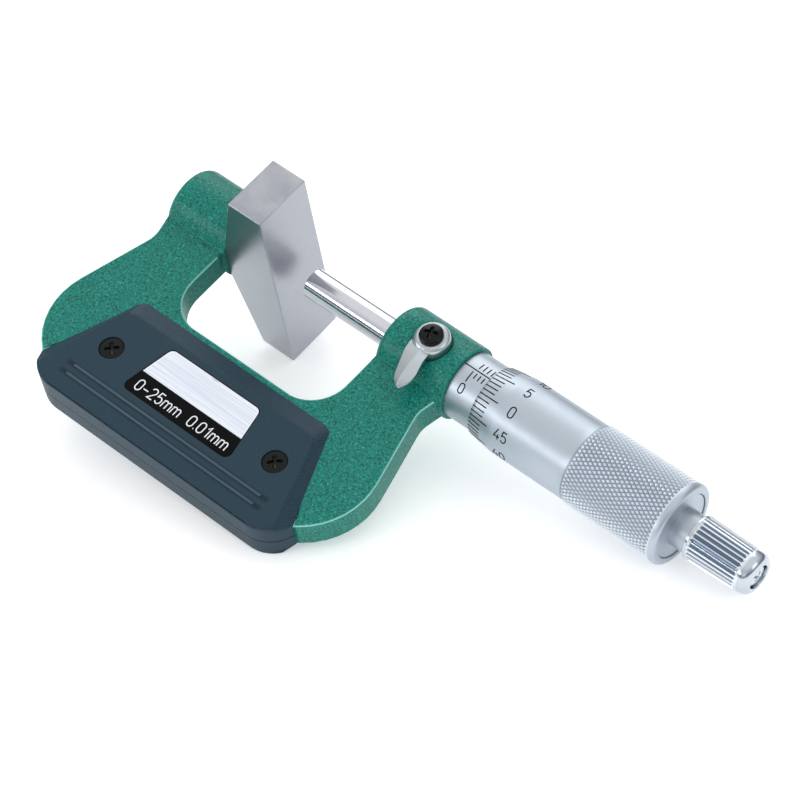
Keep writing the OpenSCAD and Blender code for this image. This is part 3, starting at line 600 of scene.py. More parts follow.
class Shop:
    """Makes objects out of point grids and copies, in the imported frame."""

    def __init__(self, bench: Bench, nodes: dict[str, Thing]) -> None:
        """Keeps the bench that places every point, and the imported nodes."""
        self.bench = bench
        self.nodes = nodes

    def reach(self, node: str, way: Way = Way.ALONG) -> tuple[float, float]:
        """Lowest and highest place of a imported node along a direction."""
        return self.bench.reach(self.nodes[node], way)

    @staticmethod
    def quads(rows: int, columns: int, ring: bool, loop: bool) -> Array:
        """Faces of a grid: rows follow the second parameter, columns the first."""
        index = np.arange(rows * columns).reshape(rows, columns)
        if ring:
            index = np.concatenate([index, index[:, :1]], axis=1)
        if loop:
            index = np.concatenate([index, index[:1]], axis=0)
        return np.stack([index[:-1, :-1], index[:-1, 1:], index[1:, 1:], index[1:, :-1]], axis=-1).reshape(-1, 4)

    def grid(self, name: str, points: Array, finish: Finish, seat: Seat, ring: bool = True, loop: bool = False,
             sharp: float = 32.0) -> Thing:
        """Makes a piece from a grid of points.

        Args:
            name: the object's name.
            points: array of rows by columns by 3, in instrument millimetres.
            finish: its finish.
            seat: where it belongs.
            ring: whether each row closes on itself.
            loop: whether the last row joins the first.
            sharp: edges that turn more than this many degrees stay crisp.

        Returns:
            The object.
        """
        faces = self.quads(*points.shape[:2], ring, loop)
        return self.mesh(name, points.reshape(-1, 3), faces, finish, seat, sharp)

    def mesh(self, name: str, points: Array, faces: Array, finish: Finish, seat: Seat,
             sharp: float = 32.0) -> Thing:
        """Makes a piece from points and faces, closed, merged and with its faces outwards.

        Args:
            name: the object's name.
            points: vertices in instrument millimetres.
            faces: rows of vertex numbers.
            finish: its finish.
            seat: where it belongs.
            sharp: edges that turn more than this many degrees stay crisp.

        Returns:
            The object.
        """
        mesh = bpy.data.meshes.new(name)
        mesh.from_pydata(self.bench.place(points), [], faces.tolist())
        self.clean(mesh)
        return self.settle(name, mesh, finish, seat, sharp)

    def clean(self, mesh: Mesh, flat: float = 0.0) -> None:
        """Merges doubles, turns faces outwards and joins the faces that lie in one plane.

        Args:
            mesh: the mesh, which is changed.
            flat: faces that turn less than this many degrees are joined, or 0 for none.
        """
        work = bmesh.new()
        work.from_mesh(mesh)
        bmesh.ops.remove_doubles(work, verts=work.verts, dist=0.0005 * MM)
        bmesh.ops.dissolve_degenerate(work, edges=work.edges, dist=0.0002 * MM)
        if flat:
            bmesh.ops.dissolve_limit(work, angle_limit=math.radians(flat), use_dissolve_boundaries=False,
                                     verts=work.verts, edges=work.edges)
        bmesh.ops.recalc_face_normals(work, faces=work.faces)
        work.to_mesh(mesh)
        work.free()

    def settle(self, name: str, mesh: Mesh, finish: Finish, seat: Seat,
               sharp: float) -> Thing:
        """Puts a mesh in the scene with its finish, on its body and in place of its nodes."""
        mesh.shade_smooth()
        mesh.set_sharp_from_angle(angle=math.radians(sharp))
        made = bpy.data.objects.new(name, mesh)
        bpy.context.scene.collection.objects.link(made)
        mesh.materials.clear()
        mesh.materials.append(finish.material(self.bench))
        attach(made, seat.body)
        if seat.nodes:
            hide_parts(*seat.nodes)
        return made

    def copy_of(self, name: str, finish: Finish, seat: Seat, width: float, breaks: tuple[Break, ...],
                sharp: float = 32.0) -> Thing:
        """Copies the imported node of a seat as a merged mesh, with some of its edges rounded.

        Args:
            name: the new object's name.
            finish: its finish.
            seat: where it belongs; its first node is copied.
            width: width of the widest round in millimetres.
            breaks: which edges are rounded.
            sharp: edges that turn more than this many degrees stay crisp.

        Returns:
            The object.
        """
        mesh = self.nodes[seat.nodes[0]].data.copy()
        self.clean(mesh, 0.3)
        ends = np.empty(len(mesh.edges) * 2, np.int32)
        mesh.edges.foreach_get("vertices", ends)
        middles = self.bench.read(mesh)[ends.reshape(-1, 2)].mean(axis=1)
        turns = edge_turns(mesh)
        weights = np.zeros(len(mesh.edges))
        for each in breaks:
            weights[(turns > each.least) & (turns < each.most) & each.where(middles)] = each.share
        mesh.attributes.new("bevel_weight_edge", "FLOAT", "EDGE").data.foreach_set("value", weights)
        made = self.settle(name, mesh, finish, seat, sharp)
        rounds = made.modifiers.new("broken_edges", "BEVEL")
        rounds.width = width * MM
        rounds.segments = 3
        rounds.limit_method = "WEIGHT"
        rounds.use_clamp_overlap = False
        even = made.modifiers.new("even_shading", "WEIGHTED_NORMAL")
        even.keep_sharp = True
        even.weight = 100
        return made


def circled(x: Array, radius: Array, angle: Array) -> Array:
    """Points on circles about the x axis: [x, r cos a, r sin a], from arrays that fit each other's shape."""
    return np.stack(np.broadcast_arrays(x, radius * np.cos(angle), radius * np.sin(angle)), axis=-1)


def turned_rows(profile: Array, columns: int) -> Array:
    """Points of a body of revolution: each profile point [x, r] becomes a circle about the x axis.

    Args:
        profile: rows of x and r in millimetres.
        columns: points round the circle.

    Returns:
        Array of rows by columns by 3.
    """
    return circled(profile[:, :1], profile[:, 1:], np.arange(columns) * 2 * np.pi / columns)


def eased(corners: list[tuple[float, float, float]], steps: int = 5) -> Array:
    """A profile whose corners are rounded: each corner [x, r, radius] becomes an arc between its tangents.

    Args:
        corners: the open profile's corners.
        steps: chords in each arc.

    Returns:
        Rows of x and r.
    """
    made = []
    for i, (x, r, radius) in enumerate(corners):
        spot = np.array([x, r])
        if radius <= 0 or i in (0, len(corners) - 1):
            made.append(spot[None])
            continue
        before = np.array(corners[i - 1][:2]) - spot
        after = np.array(corners[i + 1][:2]) - spot
        before, after = before / np.linalg.norm(before), after / np.linalg.norm(after)
        half = math.acos(max(-1.0, min(1.0, float(before @ after)))) / 2
        reach = radius / math.tan(half)
        centre = spot + (before + after) / np.linalg.norm(before + after) * radius / math.sin(half)
        start, end = spot + before * reach - centre, spot + after * reach - centre
        share = np.linspace(0, 1, steps + 1)[:, None]
        sweep = math.pi - 2 * half
        made.append(centre + (np.sin((1 - share) * sweep) * start + np.sin(share * sweep) * end) / math.sin(sweep))
    return np.concatenate(made)


class Strokes:
    """Single-line figures, as an engraving machine cuts them, in a cell 1 high."""

    WIDTH = 0.52

    @staticmethod
    def bow(cx: float, cy: float, rx: float, ry: float, a0: float, a1: float, steps: int = 10) -> list:
        """Points of an elliptic arc from angle a0 to a1 in degrees."""
        angle = np.radians(np.linspace(a0, a1, steps + 1))
        return np.column_stack([cx + rx * np.cos(angle), cy + ry * np.sin(angle)]).tolist()

    @classmethod
    def glyph(cls, sign: str) -> list[Array]:
        """Lines of one figure.

        Args:
            sign: a digit, m, a dash, a point or a space.

        Returns:
            Polylines in the cell.
        """
        w, bow = cls.WIDTH, cls.bow
        shapes = {
            "0": [bow(w / 2, 0.72, w / 2, 0.28, 0, 180) + bow(w / 2, 0.28, w / 2, 0.28, 180, 360) + [[w, 0.72]]],
            "1": [[[0.08, 0.74], [0.30, 1.0], [0.30, 0.0]]],
            "2": [bow(w / 2, 0.73, w / 2, 0.27, 165, -35) + [[0.0, 0.0], [w, 0.0]]],
            "3": [bow(w / 2, 0.76, 0.24, 0.24, 150, -90) + bow(w / 2, 0.26, w / 2, 0.26, 90, -150)],
            "4": [[[0.40, 0.0], [0.40, 0.52]], [[0.30, 1.0], [0.0, 0.26], [w + 0.04, 0.26]]],
            "5": [[[w - 0.04, 1.0], [0.08, 1.0], [0.03, 0.56]] + bow(w / 2, 0.32, w / 2, 0.32, 115, -150)],
            "6": [[[0.42, 1.0]] + bow(w / 2, 0.30, w / 2, 0.30, 160, 520, 16)],
            "7": [[[0.0, 1.0], [w, 1.0], [0.16, 0.0]]],
            "8": [bow(w / 2, 0.76, 0.22, 0.24, 0, 360, 14), bow(w / 2, 0.26, w / 2, 0.26, 0, 360, 16)],
            "9": [[[0.10, 0.0]] + bow(w / 2, 0.70, w / 2, 0.30, -20, 340, 16)],
            "m": [[[0.0, 0.0], [0.0, 0.70]], bow(0.19, 0.46, 0.19, 0.24, 180, 0) + [[0.38, 0.0]],
                  bow(0.57, 0.46, 0.19, 0.24, 180, 0) + [[0.76, 0.0]]],
            "-": [[[0.0, 0.42], [0.5, 0.42]]],
            ".": [[[0.04, 0.0], [0.04, 0.08]]],
            " ": [],
        }
        return [np.array(line, float) for line in shapes[sign]]

    @classmethod
    def advance(cls, sign: str) -> float:
        """Distance from one figure to the next, as a share of the height."""
        return {"1": 0.56, "m": 0.98, "-": 0.70, ".": 0.28, " ": 0.55}.get(sign, cls.WIDTH + 0.22)

    @classmethod
    def line(cls, text: str, height: float) -> list[Array]:
        """Lines of a text about its own centre, in millimetres."""
        made, at = [], 0.0
        for sign in text:
            made += [line + [at, 0] for line in cls.glyph(sign)]
            at += cls.advance(sign)
        middle = np.array([(at - 0.22) / 2, 0.5])
        return [(line - middle) * height for line in made]


@dataclass
class Inlay:
    """Fine bars of paint that lie in a surface: each line becomes a low, closed bar along its path.

    Attributes:
        width: the bar's width.
        proud: how far its top stands over the surface.
        sunk: how far its foot lies under it.
        step: longest piece of a bar, so that it follows a round surface.
    """

    width: float = 0.2
    proud: float = 0.03
    sunk: float = 0.05
    step: float = 0.25

    def refined(self, path: Array) -> Array:
        """Splits each part of a path into equal pieces no longer than the step."""
        move = np.diff(path, axis=0)
        counts = np.maximum(1, np.ceil(np.linalg.norm(move, axis=1) / self.step)).astype(int)
        within = np.arange(counts.sum()) - np.repeat(np.cumsum(counts) - counts, counts)
        part = np.repeat(move / counts[:, None], counts, axis=0)
        return np.vstack([np.repeat(path[:-1], counts, axis=0) + part * within[:, None], path[-1]])

    def bar(self, path: Array) -> tuple[Array, Array]:
        """Carries a flat rectangle along a path with mitred corners and square ends.

        Args:
            path: rows of two surface coordinates in millimetres.

        Returns:
            Points as rows of u, v and height, and the quads between them.
        """
        step = np.diff(path, axis=0)
        step /= np.linalg.norm(step, axis=1)[:, None]
        before, after = np.vstack([step[:1], step]), np.vstack([step, step[-1:]])
        side = np.column_stack([-(before + after)[:, 1], (before + after)[:, 0]])
        side /= np.linalg.norm(side, axis=1)[:, None]
        mitre = np.clip(np.einsum("ij,ij->i", side, np.column_stack([-after[:, 1], after[:, 0]])), 0.5, 1)
        edge = side * (self.width / 2 / mitre)[:, None]
        corners = [(1, self.proud), (-1, self.proud), (-1, -self.sunk), (1, -self.sunk)]
        rings = np.stack([np.column_stack([path + s * edge, np.full(len(path), h)]) for s, h in corners], axis=1)
        walls = Shop.quads(len(path), 4, ring=True, loop=False)
        index = np.arange(len(path) * 4).reshape(-1, 4)
        return rings.reshape(-1, 3), np.vstack([walls, index[0][::-1], index[-1]])

    def join(self, paths: list[Array]) -> tuple[Array, Array]:
        """Bars of many paths as one set of points and quads."""
        points, quads, count = [], [], 0
        for path in paths:
            spot, quad = self.bar(self.refined(np.asarray(path, float)))
            points.append(spot)
            quads.append(quad + count)
            count += len(spot)
        return np.concatenate(points), np.concatenate(quads)


def wrapped(points: Array, radius: float | Array) -> Array:
    """Wraps u, v and height on a barrel: u runs along x, v in degrees round it, and height outwards."""
    return circled(points[:, 0], radius + points[:, 2], np.radians(points[:, 1]))


@dataclass
class Casting:
    """The frame, whose painted rims are a little round, and the ground anvil.

    Attributes:
        rim: width of the round on the rear rim of the spindle's boss.
        anvil_edge: width of the rounds on the anvil's edges.
        boss_r: radius of the spindle's boss.
    """

    frame_seat: Seat = Seat("frame", "hammered_enamel", ("frame",))
    anvil_seat: Seat = Seat("frame", "ground_steel", ("anvil",))
    rim: float = 0.25
    anvil_edge: float = 0.25
    boss_r: float = 8.2

    def build(self, shop: Shop) -> None:
        """Makes both copies and rounds their edges."""
        rear_x = shop.reach("graduated_sleeve")[0]

        def rear_rim(spots: Array) -> Array:
            """Middles on the rear rim of the spindle's boss."""
            return (np.abs(spots[:, 0] - rear_x) < 0.1) & (np.hypot(spots[:, 1], spots[:, 2]) > self.boss_r - 0.1)

        shop.copy_of("frame_casting", ENAMEL, self.frame_seat, self.rim, (Break(1.0, 25, 130, rear_rim),), 50)
        shop.copy_of("anvil_bar", GROUND_STEEL, self.anvil_seat, self.anvil_edge, (Break(1.0, 40, 130),), 10)


@dataclass
class Barrel:
    """The graduated sleeve and its datum line, marks and figures.

    Attributes:
        zero_x: place of the zero mark.
        datum: angle of the datum line.
        low_start: angle at which the millimetre marks start.
        high_start: angle at which the half-millimetre marks start.
        figures: height of the figures.
        figure_gap: distance from the low start to the figures.
        reading_range: number of millimetres on the scale.
        line_w: width of a mark.
        mark: length of a millimetre mark.
        long_mark: length of every fifth one.
        half_mark: length of a half-millimetre mark.
        wall: thickness of the sleeve's wall.
    """

    seat: Seat = Seat("sleeve", "satin_chrome", ("graduated_sleeve",))
    zero_x: float = 48.28
    datum: float = 87.0
    low_start: float = 91.4
    high_start: float = 82.7
    figures: float = 2.1
    figure_gap: float = 3.15
    reading_range: int = 25
    line_w: float = 0.25
    mark: float = 1.3
    long_mark: float = 2.6
    half_mark: float = 1.65
    wall: float = 0.9

    def build(self, shop: Shop) -> None:
        """Makes the sleeve's surface and its marks."""
        x0, x1 = shop.reach("graduated_sleeve")
        radius = shop.reach("graduated_sleeve", Way.OPEN_SIDE)[1]
        bore = radius - self.wall
        profile = eased([(x0, bore, 0), (x0, radius, 0.08), (x1, radius, 0.15), (x1, bore, 0.1), (x0, bore, 0)])
        shop.grid("sleeve_tube", turned_rows(profile[:-1], 192), SATIN_CHROME, self.seat, loop=True)
        per_mm = math.degrees(1 / radius)
        paths = [np.array([[x0 + 0.15, self.datum / per_mm], [x1 - 0.2, self.datum / per_mm]])]
        for half in range(2 * self.reading_range + 1):
            x = self.zero_x + half / 2
            if half % 2:
                length, start = -self.half_mark, self.high_start / per_mm
            else:
                length, start = (self.mark if half % 10 else self.long_mark), self.low_start / per_mm
            paths.append(np.array([[x, start], [x, start + length]]))
        for number in range(0, self.reading_range + 1, 5):
            spot = np.array([self.zero_x + number, self.low_start / per_mm + self.figure_gap + self.figures / 2])
            paths += [spot + line * [1, -1] for line in Strokes.line(str(number), self.figures)]
        points, quads = Inlay(self.line_w).join(paths)
        shop.mesh("sleeve_marks", wrapped(points * [1, per_mm, 1], radius), quads, GRAVER_BLACK,
                  Seat("sleeve", "satin_chrome"), 20)


@dataclass
class Grip:
    """The thimble: graduated cone, plain band, diamond knurl and rounded rim.

    Attributes:
        zero_angle: angle of the thimble's zero mark at rest.
        divisions: marks round the cone.
        across: diamonds round the grip.
        pitch: length of a diamond along the axis.
        cells: grid steps across one diamond.
        figure_x: distance of the figures' middles from the front edge.
        rim_l: length behind the knurl; rim_r is its round.
        recess: depth of the recess in the rear end.
        hub_t: thickness of the wall behind that; hub_bore is its bore's radius.
    """

    seat: Seat = Seat("thimble", "satin_chrome", ("thimble",))
    zero_angle: float = 112.5
    divisions: int = 50
    short_mark: float = 3.2
    long_mark: float = 4.9
    figures: float = 2.35
    figure_x: float = 8.55
    figure_w: float = 0.26
    across: int = 58
    pitch: float = 1.68
    knurl_depth: float = 0.42
    cells: int = 8
    front_r: float = 7.75
    cone_l: float = 5.8
    band_r: float = 8.6
    grip_l: float = 23.8
    chamfer_l: float = 1.5
    rim_l: float = 1.5
    rim_r: float = 1.0
    recess: float = 3.0
    recess_r: float = 7.3
    bore_r: float = 7.52
    hub_t: float = 6.0
    hub_bore: float = 2.66

    def outline(self, x: Array, x0: float, x1: float, grip_r: float) -> Array:
        """Outer radius along the thimble: a cone, a band, a chamfer, the grip and its rounded rim."""
        grip_x = x1 - self.grip_l
        spots = [x0, x0 + self.cone_l, grip_x, grip_x + self.chamfer_l, x1 - self.rim_r]
        radii = [self.front_r, self.band_r, self.band_r, grip_r, grip_r]
        plain = np.interp(x, spots, radii)
        over = np.clip(x - (x1 - self.rim_r), 0, self.rim_r)
        return np.where(over > 0, grip_r - self.rim_r + np.sqrt(self.rim_r**2 - over**2), plain)

    def knurl(self, x: Array, angle: Array, x0: float) -> Array:
        """Height of the knurl, 0 to 1: the lower of two sets of vee grooves that wind left and right.

        Each set is 1 - 2 |(turns +- run) mod 1 - 1/2|.
        """
        turns = angle / (2 * np.pi) * self.across
        run = (x - x0) / self.pitch
        left, right = (1 - 2 * np.abs(((turns + way * run) % 1) - 0.5) for way in (1, -1))
        return np.minimum(left, right)

    def build(self, shop: Shop) -> None:
        """Makes the thimble's surface with its knurl, then its marks and figures."""
        x0, x1 = shop.reach("thimble")
        grip_r = shop.reach("thimble", Way.OPEN_SIDE)[1]
        columns = self.across * self.cells
        grip_x = x1 - self.grip_l
        knurled = np.arange(grip_x + 0.25, x1 - self.rim_l, self.pitch / self.cells)
        cone = np.linspace(x0 + 0.12, x0 + self.cone_l - 0.1, 8)
        band = np.linspace(x0 + self.cone_l + 0.1, grip_x - 0.02, 14)
        rim = x1 - self.rim_r + self.rim_r * np.sin(np.radians(np.arange(0, 91, 11.25)))
        before = 2 + len(cone) + len(band)
        x = np.concatenate([[x0], cone, band, [grip_x + 0.12], knurled,
                            [knurled[-1] + 0.02, x1 - self.rim_l + 0.1], rim])
        angle = np.arange(columns) * 2 * np.pi / columns
        outer = self.outline(x, x0, x1, grip_r)
        outer[0] -= 0.08
        radius = np.repeat(outer[:, None], columns, axis=1)
        rows = slice(before, before + len(knurled))
        height = np.clip(self.knurl(x[rows, None], angle[None], grip_x) * 1.12, 0, 1)
        diamonds = np.maximum(grip_r - self.knurl_depth * (1 - height), self.band_r)
        radius[rows] = np.minimum(radius[rows], diamonds)
        around = circled(x[:, None], radius, angle)
        hub_x = x1 - self.recess - self.hub_t
        inner = eased([(x1, self.recess_r + 0.15, 0), (x1 - 0.15, self.recess_r, 0.05),
                       (x1 - self.recess, self.recess_r, 0.2), (x1 - self.recess, self.hub_bore, 0.05),
                       (hub_x, self.hub_bore + 0.6, 0.05), (hub_x, self.bore_r, 0.3), (x0 + 0.1, self.bore_r, 0.02),
                       (x0, self.bore_r + 0.05, 0)])
        surface = np.concatenate([around, turned_rows(inner, columns)])
        finish = replace(KNURLED_CHROME, crest_r=grip_r, cut_depth=self.knurl_depth, start=grip_x + 0.2,
                         end=x1 - self.rim_l)
        shop.grid("thimble_body", surface, finish, self.seat, loop=True, sharp=38)
        self.marks(shop, x0, x1, grip_r)

    def marks(self, shop: Shop, x0: float, x1: float, grip_r: float) -> None:
        """Lays the marks and the figures on the cone and the band."""
        turn = 360 / self.divisions
        per_mm = math.degrees(1 / self.band_r)
        paths = []
        for k in range(self.divisions):
            at = (self.zero_angle - k * turn) / per_mm
            length = self.long_mark if k % 5 == 0 else self.short_mark
            paths.append(np.array([[x0 + 0.02, at], [x0 + 0.02 + length, at]]))
            if k % 5 == 0:
                paths += [np.array([x0 + self.figure_x, at]) + line * [1, -1]
                          for line in Strokes.line(str(k), self.figures)]
        points, quads = Inlay(self.figure_w).join(paths)
        radius = self.outline(points[:, 0], x0, x1, grip_r)
        shop.mesh("thimble_marks", wrapped(points * [1, per_mm, 1], radius), quads, GRAVER_BLACK,
                  Seat("thimble", "satin_chrome"), 20)


@dataclass
class CrossHead:
    """A screw head with a cross recess whose flanks slope.

    Attributes:
        radius: the head's radius.
        rise: how far its middle stands over its rim.
        edge: radius of its rim.
        arm: half length of the recess's arms.
        slot: their half width.
        depth: depth of the recess.
        columns: points round the head.
    """

    radius: float
    rise: float
    edge: float = 0.15
    arm: float = 1.4
    slot: float = 0.34
    depth: float = 0.9
    columns: int = 144

    def rows(self, top: float, foot: float, shank_r: float, shank_foot: float, turn: float = 45.0) -> Array:
        """Rows of points from the middle of the head outwards, down its side and along its shank.

        The dome falls with the square of the radius. The recess is as deep as a smooth step of
        the distance inside the nearer of two crossed bars, and shallower towards their ends.

        Args:
            top: height of the head's middle.
            foot: height of its underside.
            shank_r: radius of the shank.
            shank_foot: height of the shank's end.
            turn: angle of the cross in degrees.

        Returns:
            Array of rows by columns by 3, about the screw's own axis.
        """
        angle = np.arange(self.columns) * 2 * np.pi / self.columns
        flat_r = self.radius - self.edge
        r = np.concatenate([np.linspace(0, 1.25 * self.arm, 40), np.linspace(1.25 * self.arm, flat_r, 8)[1:]])
        u, v = r[:, None] * np.cos(angle - math.radians(turn)), r[:, None] * np.sin(angle - math.radians(turn))
        along, across = np.abs(u), np.abs(v)
        inside = np.minimum(np.maximum(along / self.slot, across / self.arm),
                            np.maximum(across / self.slot, along / self.arm))
        share = np.clip((1.15 - inside) / 0.35, 0, 1)
        cut = self.depth * share * share * (3 - 2 * share) * (1 - 0.5 * np.minimum(r[:, None] / self.arm, 1))
        z = top - self.rise * (r[:, None] / self.radius) ** 2 - cut
        crown = circled(z, r[:, None], angle)
        rim_z = top - self.rise
        bend = np.radians(np.arange(15, 91, 15))
        side_r = np.concatenate([flat_r + self.edge * np.sin(bend), [self.radius, shank_r, shank_r, 0.0]])
        side_z = np.concatenate([rim_z - self.edge * (1 - np.cos(bend)), [foot, foot, shank_foot, shank_foot]])
        return np.concatenate([crown, circled(side_z[:, None], side_r[:, None], angle)])[..., [1, 2, 0]]


@dataclass
class RatchetStop:
    """The ratchet's fluted knob and the screw in its end.

    Attributes:
        ribs: ridges round the knob.
        columns_per_rib: points from one ridge to the next.
        depth: depth of the flutes.
        mouth: depth of the hole for the screw's head; mouth_r is its radius.
        head: the shape of that head.
    """

    knob_seat: Seat = Seat("knob", "satin_chrome", ("ratchet_knob",))
    screw_seat: Seat = Seat("thimble", "satin_chrome", ("ratchet_screw",))
    ribs: int = 28
    columns_per_rib: int = 14
    depth: float = 0.34
    front_r: float = 4.85
    rear_r: float = 4.6
    round_r: float = 1.9
    bore_r: float = 3.7
    mouth_r: float = 2.65
    mouth: float = 2.4
    head: CrossHead = field(default_factory=lambda: CrossHead(2.3, 0.25, arm=1.25, slot=0.3, depth=0.8))
    head_h: float = 1.4
    stud_r: float = 1.25

    def build(self, shop: Shop) -> None:
        """Makes the knob: narrow straight ridges between wide hollow flutes, and its screw."""
        x0, x1 = shop.reach("ratchet_knob")
        columns = self.ribs * self.columns_per_rib
        angle = np.arange(columns) * 2 * np.pi / columns
        shoulder = x1 - self.round_r
        body = np.linspace(x0 + 0.45, shoulder - 0.3, 46)
        dome = np.radians(np.arange(0, 81, 10))
        x = np.concatenate([[x0, x0 + 0.12], body, shoulder + self.round_r * np.sin(dome)])
        taper = np.interp(x, [x0, shoulder], [self.front_r, self.rear_r])
        taper[0] -= 0.22
        taper[1] -= 0.05
        taper[-len(dome):] = self.rear_r - self.round_r + self.round_r * np.cos(dome)
        phase = np.abs(((angle / (2 * np.pi) * self.ribs) % 1) - 0.5)
        hollow = np.clip((phase - 0.14) / 0.14, 0, 1)
        hollow = hollow * hollow * (3 - 2 * hollow)
        ends = np.clip((x - (x0 + 0.8)) / 0.35, 0, 1) * np.clip((shoulder - 0.9 - x) / 0.5, 0, 1)
        radius = taper[:, None] - self.depth * ends[:, None] * hollow[None]
        outer = circled(x[:, None], radius, angle)
        step_x = x1 - self.mouth - 2.4
        inner = eased([(x1, self.mouth_r + 0.35, 0), (x1 - 0.18, self.mouth_r, 0.08),
                       (x1 - self.mouth, self.mouth_r, 0.1), (x1 - self.mouth, 1.4, 0.05), (step_x, 1.4, 0.05),
                       (step_x, self.bore_r, 0.2), (x0, self.bore_r, 0)])
        finish = replace(FLUTED_CHROME, crest_r=self.front_r, fall=(self.front_r - self.rear_r) / (shoulder - x0),
                         cut_depth=self.depth, start=x0 + 0.8, end=shoulder - 0.4)
        shop.grid("ratchet_knob_body", np.concatenate([outer, turned_rows(inner, columns)]), finish,
                  self.knob_seat, loop=True, sharp=40)
        low, high = shop.reach("ratchet_screw")
        rows = self.head.rows(high, high - self.head_h, self.stud_r, low)
        shop.grid("ratchet_screw_body", rows[..., [2, 0, 1]], BRIGHT_CHROME, self.screw_seat, sharp=50)


@dataclass
class Lock:
    """The spindle lock: a cast lever with a hub, a ridge and a leaf-shaped arm, and its black screw.

    Attributes:
        x: place of the lock's axis.
        foot: height of the lever's underside.
        bore_r: radius of the shaft's bore; hole_r is that of the screw's hole.
        screw_top: height of the screw's middle over the foot.
        voxel: edge of the cells in which hub and arm are joined.
        stations: distance from the axis, left edge, right edge and ridge of the arm, then the
            height of its ridge and of its underside over the lever's foot, row by row.
    """

    lever_seat: Seat = Seat("lock", "cast_silver", ("lock_lever",))
    ring_seat: Seat = Seat("lock", "cast_silver")
    screw_seat: Seat = Seat("lock", "black_screws", ("lock_screw",))
    x: float = 37.5
    foot: float = 6.65
    hub_r: float = 3.85
    hub_h: float = 3.62
    bore_r: float = 1.95
    hole_r: float = 1.0
    screw_r: float = 2.5
    screw_top: float = 5.0
    shank_r: float = 0.9
    voxel: float = 0.09
    stations: tuple[tuple[float, ...], ...] = (
        (2.3, -3.3, 1.0, -0.1, 3.35, 1.4), (3.4, -3.3, 1.8, 0.05, 3.3, 1.35), (5.0, -3.05, 1.9, 0.25, 3.2, 1.25),
        (6.8, -2.4, 2.35, 0.42, 3.0, 1.1), (8.0, -1.95, 2.65, 0.5, 2.85, 1.0), (9.2, -1.5, 2.7, 0.58, 2.6, 0.9),
        (10.4, -1.05, 2.45, 0.64, 2.3, 0.8), (11.3, -0.45, 2.05, 0.75, 2.0, 0.73), (12.0, 0.4, 1.7, 0.95, 1.7, 0.68),
        (12.38, 1.05, 1.4, 1.2, 1.45, 0.66))

    def arm(self) -> Array:
        """Sections of the arm: five corners round each, carried from the hub to the tip.

        Each of a section's measures runs evenly between the stations. The left facet is narrow and
        steep, the right one wide and shallow, and they meet in the ridge.

        Returns:
            Array of rows by 5 by 3, about the lever's axis.
        """
        table = np.array(self.stations)
        at = np.linspace(table[0, 0], table[-1, 0], 41)
        left, right, ridge, top, low = (np.interp(at, table[:, 0], table[:, k]) for k in range(1, 6))
        corners = [(left, low + 0.15), (right, low), (right, low + 0.45 * (top - low)), (ridge, top),
                   (left, low + 0.55 * (top - low))]
        return np.stack([np.column_stack([x, -at, z]) for x, z in corners], axis=1)

    def hub(self, columns: int = 96) -> Array:
        """The hub as a turned ring: a straight wall, a soft shoulder and a bore for the shaft."""
        h = self.hub_h
        profile = eased([(0, self.bore_r, 0), (0, self.hub_r, 0.15), (h, self.hub_r, 1.25), (h, self.hole_r, 0.05),
                         (h - 0.55, self.hole_r, 0.05), (h - 0.55, self.bore_r, 0.05), (0, self.bore_r, 0)], 8)
        return turned_rows(profile[:-1], columns)[..., [1, 2, 0]]

    def build(self, shop: Shop) -> None:
        """Casts the lever by remeshing hub and arm as one, then adds its ring and its screw."""
        axis = np.array([self.x, 0.0, self.foot])
        arm, hub = self.arm(), self.hub()
        arm_faces = Shop.quads(*arm.shape[:2], ring=True, loop=False)
        hub_faces = Shop.quads(*hub.shape[:2], ring=True, loop=True) + arm.size // 3
        rough = bpy.data.meshes.new("lever_pattern")
        caps = [list(range(5)), list(range(arm.size // 3 - 5, arm.size // 3))]
        spots = np.concatenate([arm.reshape(-1, 3), hub.reshape(-1, 3)]) + axis
        rough.from_pydata(shop.bench.place(spots), [], arm_faces.tolist() + caps + hub_faces.tolist())
        shop.clean(rough)
        cast = self.cast(rough)
        shop.settle("lock_lever_body", cast, PLATED_CASTING, self.lever_seat, 70)
        ring = eased([(-0.15, 2.6, 0), (0.07, 2.6, 0.06), (0.07, 3.0, 0.09), (-0.15, 3.05, 0),
                      (-0.15, 2.6, 0)])[:-1]
        ring = turned_rows(ring + [self.hub_h, 0], 96)[..., [1, 2, 0]] + axis
        shop.grid("lock_lever_ring", ring, PLATED_CASTING, self.ring_seat, loop=True)
        head = CrossHead(self.screw_r, 0.67, edge=0.22, arm=1.35, slot=0.36, depth=0.95)
        rows = head.rows(self.screw_top, self.hub_h + 0.02, self.shank_r, 0.8, 20.0)
        shop.grid("lock_screw_body", rows + axis, BLACK_STEEL, self.screw_seat, sharp=50)

    def cast(self, rough: Mesh) -> Mesh:
        """Joins the pattern's bodies by a fine voxel remesh, and softens the result.

        Args:
            rough: closed bodies that cross each other.

        Returns:
            One closed mesh.
        """
        pattern = bpy.data.objects.new("lever_pattern", rough)
        bpy.context.scene.collection.objects.link(pattern)
        fused = pattern.modifiers.new("fused", "REMESH")
        fused.mode = "VOXEL"
        fused.voxel_size = self.voxel * MM
        soft = pattern.modifiers.new("soft", "SMOOTH")
        soft.factor = 0.5
        soft.iterations = 4
        graph = bpy.context.evaluated_depsgraph_get()
        made = bpy.data.meshes.new_from_object(pattern.evaluated_get(graph))
        bpy.data.objects.remove(pattern)
        bpy.data.meshes.remove(rough)
        return made


